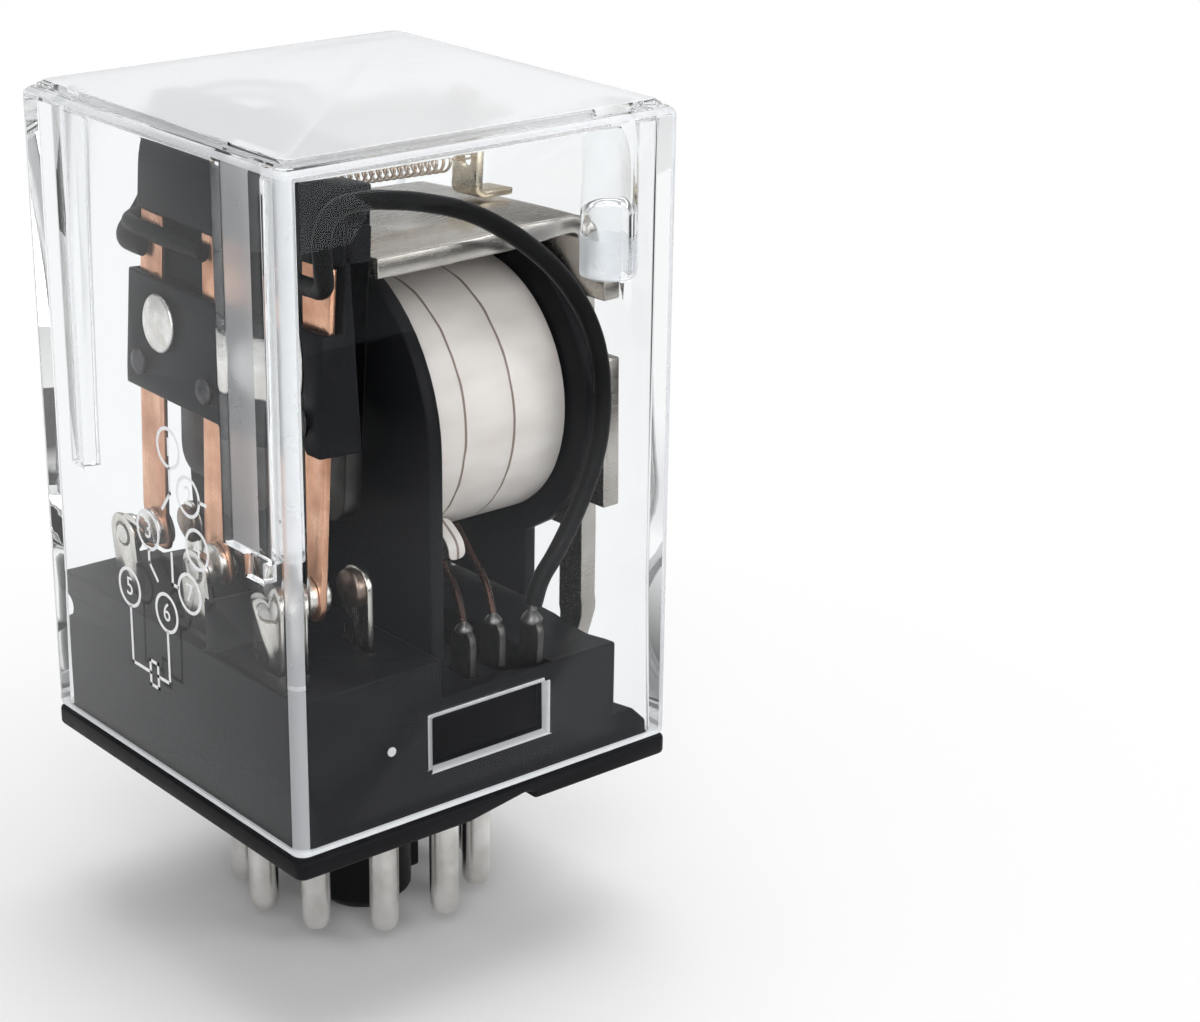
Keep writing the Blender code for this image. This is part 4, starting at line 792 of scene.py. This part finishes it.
tailShape = {"width": 1.5, "x": 1.6, "thick": 0.09,
             "path": [(-7.35, 20.75), (-8.1, 20.25), (-8.75, 19.85), (-9.3, 19.35), (-9.55, 18.7), (-9.5, 18.0)]}


def makeTapeTail(shape):
    # loose end of the tape, drawn out from the coil's foot
    path = shape["path"]
    tail = startPoint("tapeTail", shape["x"], *path[0])
    bpy.ops.mesh.extrude_vertices_move(TRANSFORM_OT_translate={"value": (shape["width"] * mm, 0, 0)})
    bpy.ops.mesh.select_mode(type="EDGE")
    bpy.ops.mesh.select_all(action="SELECT")
    for (nearY, nearZ), (y, z) in zip(path, path[1:]):
        move = (0, (y - nearY) * mm, (z - nearZ) * mm)
        bpy.ops.mesh.extrude_edges_move(TRANSFORM_OT_translate={"value": move})
    bpy.ops.object.mode_set(mode="OBJECT")
    applyModifier(tail, "SUBSURF", levels=2, render_levels=2)
    applyModifier(tail, "SOLIDIFY", thickness=shape["thick"] * mm, offset=0)
    finishPiece(tail, finishes["coilTape"], relayBody, crease=50)


makeCoil(coilShape)
makeTapeTail(tailShape)
print("coil wound and taped")


# Return spring

springShape = {"wire": 0.26, "radius": 0.95, "turns": 18, "perTurn": 14, "start": -3.2, "height": 47.2,
               "tail": -6.45, "past": 0.7, "bend": 0.52}


def makeSpring(shape):
    anchor = nodeSpan("spring_anchor")[0]
    far = anchor.x + shape["past"]
    radius, level, bend = shape["radius"], shape["height"], shape["bend"]
    start, end = shape["start"], anchor.x - 2 * radius
    points = [(shape["tail"] - bend, 0, level - 2 * bend), (shape["tail"] - bend, 0, level - bend),
              (shape["tail"], 0, level), (start - radius, 0, level)]
    steps = shape["turns"] * shape["perTurn"]
    for step in range(steps + 1):
        angle = 2 * math.pi * step / shape["perTurn"]
        points.append((start + (end - start) * step / steps, radius * math.sin(angle),
                       level + radius * math.cos(angle)))
    points += [(end + radius, 0, level), (far, 0, level), (far + bend, 0, level - bend),
               (far + bend, 0, level - 2 * bend)]
    spring = drawTube("returnCoil", points, shape["wire"], 3, 2)
    takeUp(spring)
    bpy.ops.object.shade_smooth_by_angle(angle=math.radians(60))
    spring.data.materials.clear()
    spring.data.materials.append(finishes["springSteel"])
    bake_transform(spring)
    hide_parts("return_spring")


makeSpring(springShape)


# Flexible leads from the blades round the coil to their lugs, and the coil's two wire ends

leadShape = {
    "diameter": 1.4, "lane": 14.2, "coilMiddle": 5.0, "coilHalf": 7.4, "up": 14.6, "down": 14.5,
    # along, across the way to the lane, up: in lead diameters from the hinge edge
    "front": [(-4.25, -0.24, -0.66), (-4.36, 0.29, -0.62), (-4.82, 0.83, -0.2), (-5.25, 1.02, 1.07),
              (-5.25, 1.02, 2.50), (-4.54, 1.00, 3.64), (-3.04, 1.00, 3.93), (-0.93, 1.00, 3.68),
              (1.11, 1.00, 3.21), (3.61, 1.00, 2.36)],
    "middle": [(-3.96, 0.05, -0.68), (-3.98, 0.3, -0.68), (-3.98, 0.6, -0.68), (-3.98, 0.82, -0.68),
               (-3.6, 0.94, -0.68), (-2.35, 0.97, -0.5), (-0.25, 0.98, 0.36)],
    "rear": [(-3.95, 0.1, -1.72), (-4.02, 0.5, -1.72), (-3.95, 0.85, -1.66), (-3.4, 1.12, -1.4),
             (-2.1, 1.22, -0.64), (-0.4, 1.22, 1.07), (1.04, 1.14, 2.1), (3.61, 1.02, 2.4)],
    # along and up, in half coil lengths and shares of the coil's room
    "outerLoop": [(-0.193, 1.090), (0.138, 0.969), (0.435, 0.832), (0.695, 0.670), (0.873, 0.512), (0.988, 0.340),
                  (1.038, 0.155), (1.030, -0.027), (0.959, -0.204), (0.853, -0.341), (0.635, -0.541),
                  (0.418, -0.702), (0.243, -0.812), (0.140, -0.945)],
    "middleLoop": [(-0.838, 1.048), (-0.189, 0.870), (0.270, 0.582), (0.541, 0.253), (0.622, -0.050),
                   (0.459, -0.340), (0.081, -0.630), (-0.284, -0.810), (-0.446, -0.880), (-0.486, -0.945)],
    "strand": 0.7, "solderRadius": 0.85,
}


def leadPoints(shape, pole, lane, start, loop):
    wide = shape["diameter"]
    points = [hingePoint + Vector((along * wide, pole + across * (lane - pole), up * wide))
              for along, across, up in shape[start]]
    for along, up in shape[loop]:
        room = shape["up"] if up > 0 else shape["down"]
        points.append(Vector((shape["coilMiddle"] + along * shape["coilHalf"], lane,
                              coilHeight + up * room)))
    return points


def solderBlob(name, at, radius, tall):
    profile = [(0, -tall * 0.6), (radius * 0.55, -tall * 0.5), (radius * 0.9, -tall * 0.2), (radius, 0.05 * tall),
               (radius * 0.8, tall * 0.35), (radius * 0.5, tall * 0.62), (radius * 0.28, tall * 0.85), (0, tall)]
    blob = turnPiece(name, profile, 24)
    blob.location = Vector(at) * mm
    return blob


def makeLeads(shape):
    runs = {1: ("front", "outerLoop", -shape["lane"]), 2: ("middle", "middleLoop", shape["lane"]),
            3: ("rear", "outerLoop", shape["lane"])}
    for number, (start, loop, lane) in runs.items():
        points = leadPoints(shape, poleRows[number], lane, start, loop)
        sleeve = drawTube(f"leadSleeve{number}", points, shape["diameter"], 6, 6)
        finishPiece(sleeve, finishes["leadSleeve"], relayBody, [f"lead_{number}"], crease=60)
        lug = nodeMiddle(f"common_lug_{number}")
        lugTop = nodeSpan(f"common_lug_{number}")[1].z
        strand = drawTube(f"leadStrand{number}", [points[-1], points[-1].lerp(Vector((lug.x, lug.y, lugTop)), 0.6),
                                                  (lug.x, lug.y, lugTop - 0.6)], shape["strand"], 4, 5)
        blob = solderBlob(f"lugSolder{number}", (lug.x, lug.y, lugTop - 0.35), shape["solderRadius"], 1.0)
        joint = joinPieces(f"lugJoint{number}", [blob, strand])
        finishPiece(joint, finishes["tinSolder"], relayBody, crease=60)


wireShape = {"diameter": 0.6, "angle": 38.0, "offset": 11.2, "startInset": 1.2, "solderRadius": 0.7}


def makeCoilWires(shape):
    for number in (1, 2):
        node = f"coil_lug_{number}"
        low, high = nodeSpan(node)
        middle = nodeMiddle(node)
        angle = math.radians(shape["angle"])
        start = Vector((low.x + shape["startInset"], -shape["offset"] * math.sin(angle),
                        coilHeight - shape["offset"] * math.cos(angle)))
        end = Vector((middle.x, middle.y, high.z + 0.1))
        bow = Vector((0, 0, 2 * shape["diameter"]))
        points = [start, start.lerp(end, 0.4) + bow * 0.6, start.lerp(end, 0.8) + bow, end]
        wire = drawTube(f"coilEnd{number}", points, shape["diameter"], 4, 8)
        finishPiece(wire, finishes["coilWire"], relayBody, [f"coil_wire_{number}"], crease=60)
        blob = solderBlob(f"coilSolder{number}", (middle.x, middle.y, high.z - 0.25), shape["solderRadius"], 0.8)
        finishPiece(blob, finishes["tinSolder"], relayBody, crease=60)


makeLeads(leadShape)
makeCoilWires(wireShape)
print("spring, leads and wire ends drawn")


# Printed diagram of numbered circles on the contact side of the cover

printShape = {"ring": 1.62, "stroke": 0.27, "digit": 2.1, "thick": 0.02, "lift": 0.005,
              "circles": {1: (-1.78, 28.91), 2: (-4.26, 25.86), 3: (1.66, 21.49), 4: (-5.19, 22.04),
                          5: (4.78, 15.9), 6: (-0.52, 15.52), 7: (-3.9, 18.17)},
              "runs": [[(4.78, 14.3), (4.78, 9.75), (2.25, 9.75)], [(1.15, 9.75), (-0.52, 9.75), (-0.52, 13.9)],
                       [(2.25, 10.75), (2.25, 8.75), (1.15, 8.75), (1.15, 10.75), (2.25, 10.75)],
                       [(-1.78, 27.3), (-1.78, 25.4), (-0.6, 23.9)], [(-5.8, 25.86), (-6.6, 25.86)],
                       [(1.66, 19.9), (1.66, 18.9), (0.6, 17.8)], [(-2.3, 18.17), (-1.6, 18.17), (-1.6, 20.6)]]}


def flatStroke(near, far, stroke):
    a, b = Vector((*near, 0)), Vector((*far, 0))
    bpy.ops.object.select_all(action="DESELECT")
    bpy.ops.mesh.primitive_plane_add(size=1)
    bar = nameNew("stroke")
    bar.scale = (((b - a).length + stroke) * mm, stroke * mm, 1)
    bar.rotation_euler = (0, 0, math.atan2(b.y - a.y, b.x - a.x))
    bar.location = (a + b) / 2 * mm
    settlePlace()
    return bar


def flatNumber(text, at, size):
    bpy.ops.object.select_all(action="DESELECT")
    bpy.ops.object.text_add(location=(0, 0, 0))
    words = bpy.context.active_object
    words.data.body = text
    words.data.size = size * mm
    words.data.align_x = "CENTER"
    words.data.align_y = "CENTER"
    takeUp(words)
    bpy.ops.object.convert(target="MESH")
    number = nameNew("number")
    number.location = (at[0] * mm, at[1] * mm, 0)
    settlePlace()
    return number


def makePrint(shape):
    # drawn flat with x to the viewer's right, then stood up on the cover's side
    marks = []
    for number, (y, z) in shape["circles"].items():
        bpy.ops.object.select_all(action="DESELECT")
        bpy.ops.mesh.primitive_circle_add(vertices=40, radius=shape["ring"] * mm, fill_type="NGON",
                                          location=(-y * mm, z * mm, 0))
        ring = nameNew("ring")
        settlePlace()
        bpy.ops.object.mode_set(mode="EDIT")
        bpy.ops.mesh.select_all(action="SELECT")
        bpy.ops.mesh.inset(thickness=shape["stroke"] * mm)
        bpy.ops.mesh.delete(type="FACE")
        bpy.ops.object.mode_set(mode="OBJECT")
        marks += [ring, flatNumber(str(number), (-y, z), shape["digit"])]
    for run in shape["runs"]:
        for (nearY, nearZ), (y, z) in zip(run, run[1:]):
            marks.append(flatStroke((-nearY, nearZ), (-y, z), shape["stroke"]))
    diagram = joinPieces("coverPrint", marks)
    applyModifier(diagram, "SOLIDIFY", thickness=shape["thick"] * mm, offset=1)
    side = nodeSpan("cover")[0].x - shape["lift"]
    diagram.matrix_world = Matrix(((0, 0, -1, side * mm), (-1, 0, 0, 0), (0, 1, 0, 0), (0, 0, 0, 1)))
    finishPiece(diagram, finishes["printInk"], relayBody)


makePrint(printShape)
print("diagram printed")


# Floor, light and camera

stageLook = {"floorSize": 6.0, "floor": (0.88, 0.88, 0.88), "near": 0.024, "far": 0.085, "ambient": 0.4,
             "mirrorEdge": (0.025, 0.05), "mirrorNear": 0.72, "mirrorFar": 1.0, "mirrorBand": (0.07, 0.15),
             "dim": 0.95, "dimBand": (0.16, 0.3), "sky": 0.85, "skyBand": (0.0, 0.5), "skyTop": 0.2,
             "lamps": {"overhead": {"at": (0.16, 0.10, 0.62), "size": 0.55, "power": 2.4},
                       "frontLeft": {"at": (-0.38, -0.52, 0.42), "size": 0.45, "power": 2.2},
                       "frontRight": {"at": (0.30, -0.60, 0.28), "size": 0.35, "power": 1.2}},
             "target": (0, 0, 0.02)}


def rayKinds(root):
    # rays that reach the eye straight, or through the cover, and rays off a shiny surface
    straight = root.add("ShaderNodeLightPath", output="Is Camera Ray")
    outputs = straight.socket.node.outputs
    through, shiny, soft = (Link(root.tree, outputs[name])
                            for name in ("Is Transmission Ray", "Glossy Depth", "Diffuse Depth"))
    mirrored = (shiny > 0.5) * (soft < 0.5)
    return straight.maths("MAXIMUM", straight, through) * (soft < 0.5) * (1 - mirrored), mirrored


def makeStage(look):
    bpy.ops.object.select_all(action="DESELECT")
    level = nodeSpan("base")[0].z * mm
    bpy.ops.mesh.primitive_plane_add(size=look["floorSize"], location=(0, 0, level))
    floor = nameNew("floor")
    settlePlace()
    paper, root, shader = newFinish("floorPaper", {"Base Color": (*look["floor"], 1), "Roughness": 0.9,
                                                   "Specular IOR Level": 0.1})
    reach = root.add("ShaderNodeVectorMath", {"operation": "LENGTH"}, {0: place(root)}, "Value")
    straight, mirrored = rayKinds(root)
    east, north = (root.add("ShaderNodeSeparateXYZ", {}, {0: place(root)}, axis) for axis in "XY")
    dim = (east - north).spread(*look["dimBand"]) * look["dim"]
    mirror = look["mirrorNear"] + reach.spread(*look["mirrorBand"]) * (look["mirrorFar"] - look["mirrorNear"])
    glow = reach.spread(look["near"], look["far"]) * straight + reach.spread(*look["mirrorEdge"]) * mirrored
    white = root.add("ShaderNodeEmission", {}, {"Color": (1, 1, 1, 1),
                                                "Strength": straight + mirrored * (1 - dim) * mirror})
    shown = root.add("ShaderNodeMixShader", {}, {0: glow, 1: Link(root.tree, shader.outputs[0]), 2: white})
    root.tree.links.new(shown.socket, root.tree.nodes["Material Output"].inputs["Surface"])
    floor.data.materials.append(paper)

    world = bpy.data.worlds.new("studio")
    bpy.context.scene.world = world
    world.use_nodes = True
    root = Link(world.node_tree)
    background = world.node_tree.nodes["Background"]
    background.inputs["Color"].default_value = (1, 1, 1, 1)
    straight, mirrored = rayKinds(root)
    height = root.add("ShaderNodeSeparateXYZ", {}, {0: root.add("ShaderNodeTexCoord", output="Generated")}, "Z")
    sky = 1 - height.spread(*look["skyBand"]) * (1 - look["skyTop"])
    strength = straight + mirrored * sky * look["sky"] + (1 - straight - mirrored) * look["ambient"]
    feed(strength, background, "Strength")

    for name, lamp in look["lamps"].items():
        light = bpy.data.lights.new(name, "AREA")
        light.shape = "SQUARE"
        light.size = lamp["size"]
        light.energy = lamp["power"]
        holder = bpy.data.objects.new(name, light)
        bpy.context.scene.collection.objects.link(holder)
        aim = Vector(look["target"]) - Vector(lamp["at"])
        holder.matrix_world = Matrix.Translation(lamp["at"]) @ aim.to_track_quat("-Z", "Y").to_matrix().to_4x4()


cameraLook = {"at": (-0.11249, -0.16299, 0.09473), "ahead": (0.60256, 0.71437, -0.35580),
              "right": (0.76750, -0.64092, 0.01295), "lens": 81.15}


def makeCamera(look):
    camera = bpy.data.cameras.new("photoCamera")
    camera.lens = look["lens"]
    camera.sensor_width = 36.0
    camera.clip_start = 0.01
    holder = bpy.data.objects.new("photoCamera", camera)
    bpy.context.scene.collection.objects.link(holder)
    ahead = Vector(look["ahead"]).normalized()
    right = Vector(look["right"]).normalized()
    up = right.cross(ahead).normalized()
    right = ahead.cross(up).normalized()
    turn = Matrix((right, up, -ahead)).transposed()
    holder.matrix_world = Matrix.Translation(look["at"]) @ turn.to_4x4()
    bpy.context.scene.camera = holder


makeStage(stageLook)
makeCamera(cameraLook)
bpy.context.scene.view_settings.view_transform = "Standard"
bpy.context.scene.cycles.max_bounces = 28  # light runs along inside the clear walls
bpy.context.scene.cycles.glossy_bounces = 20
bpy.context.scene.cycles.transmission_bounces = 28
print("stage set")
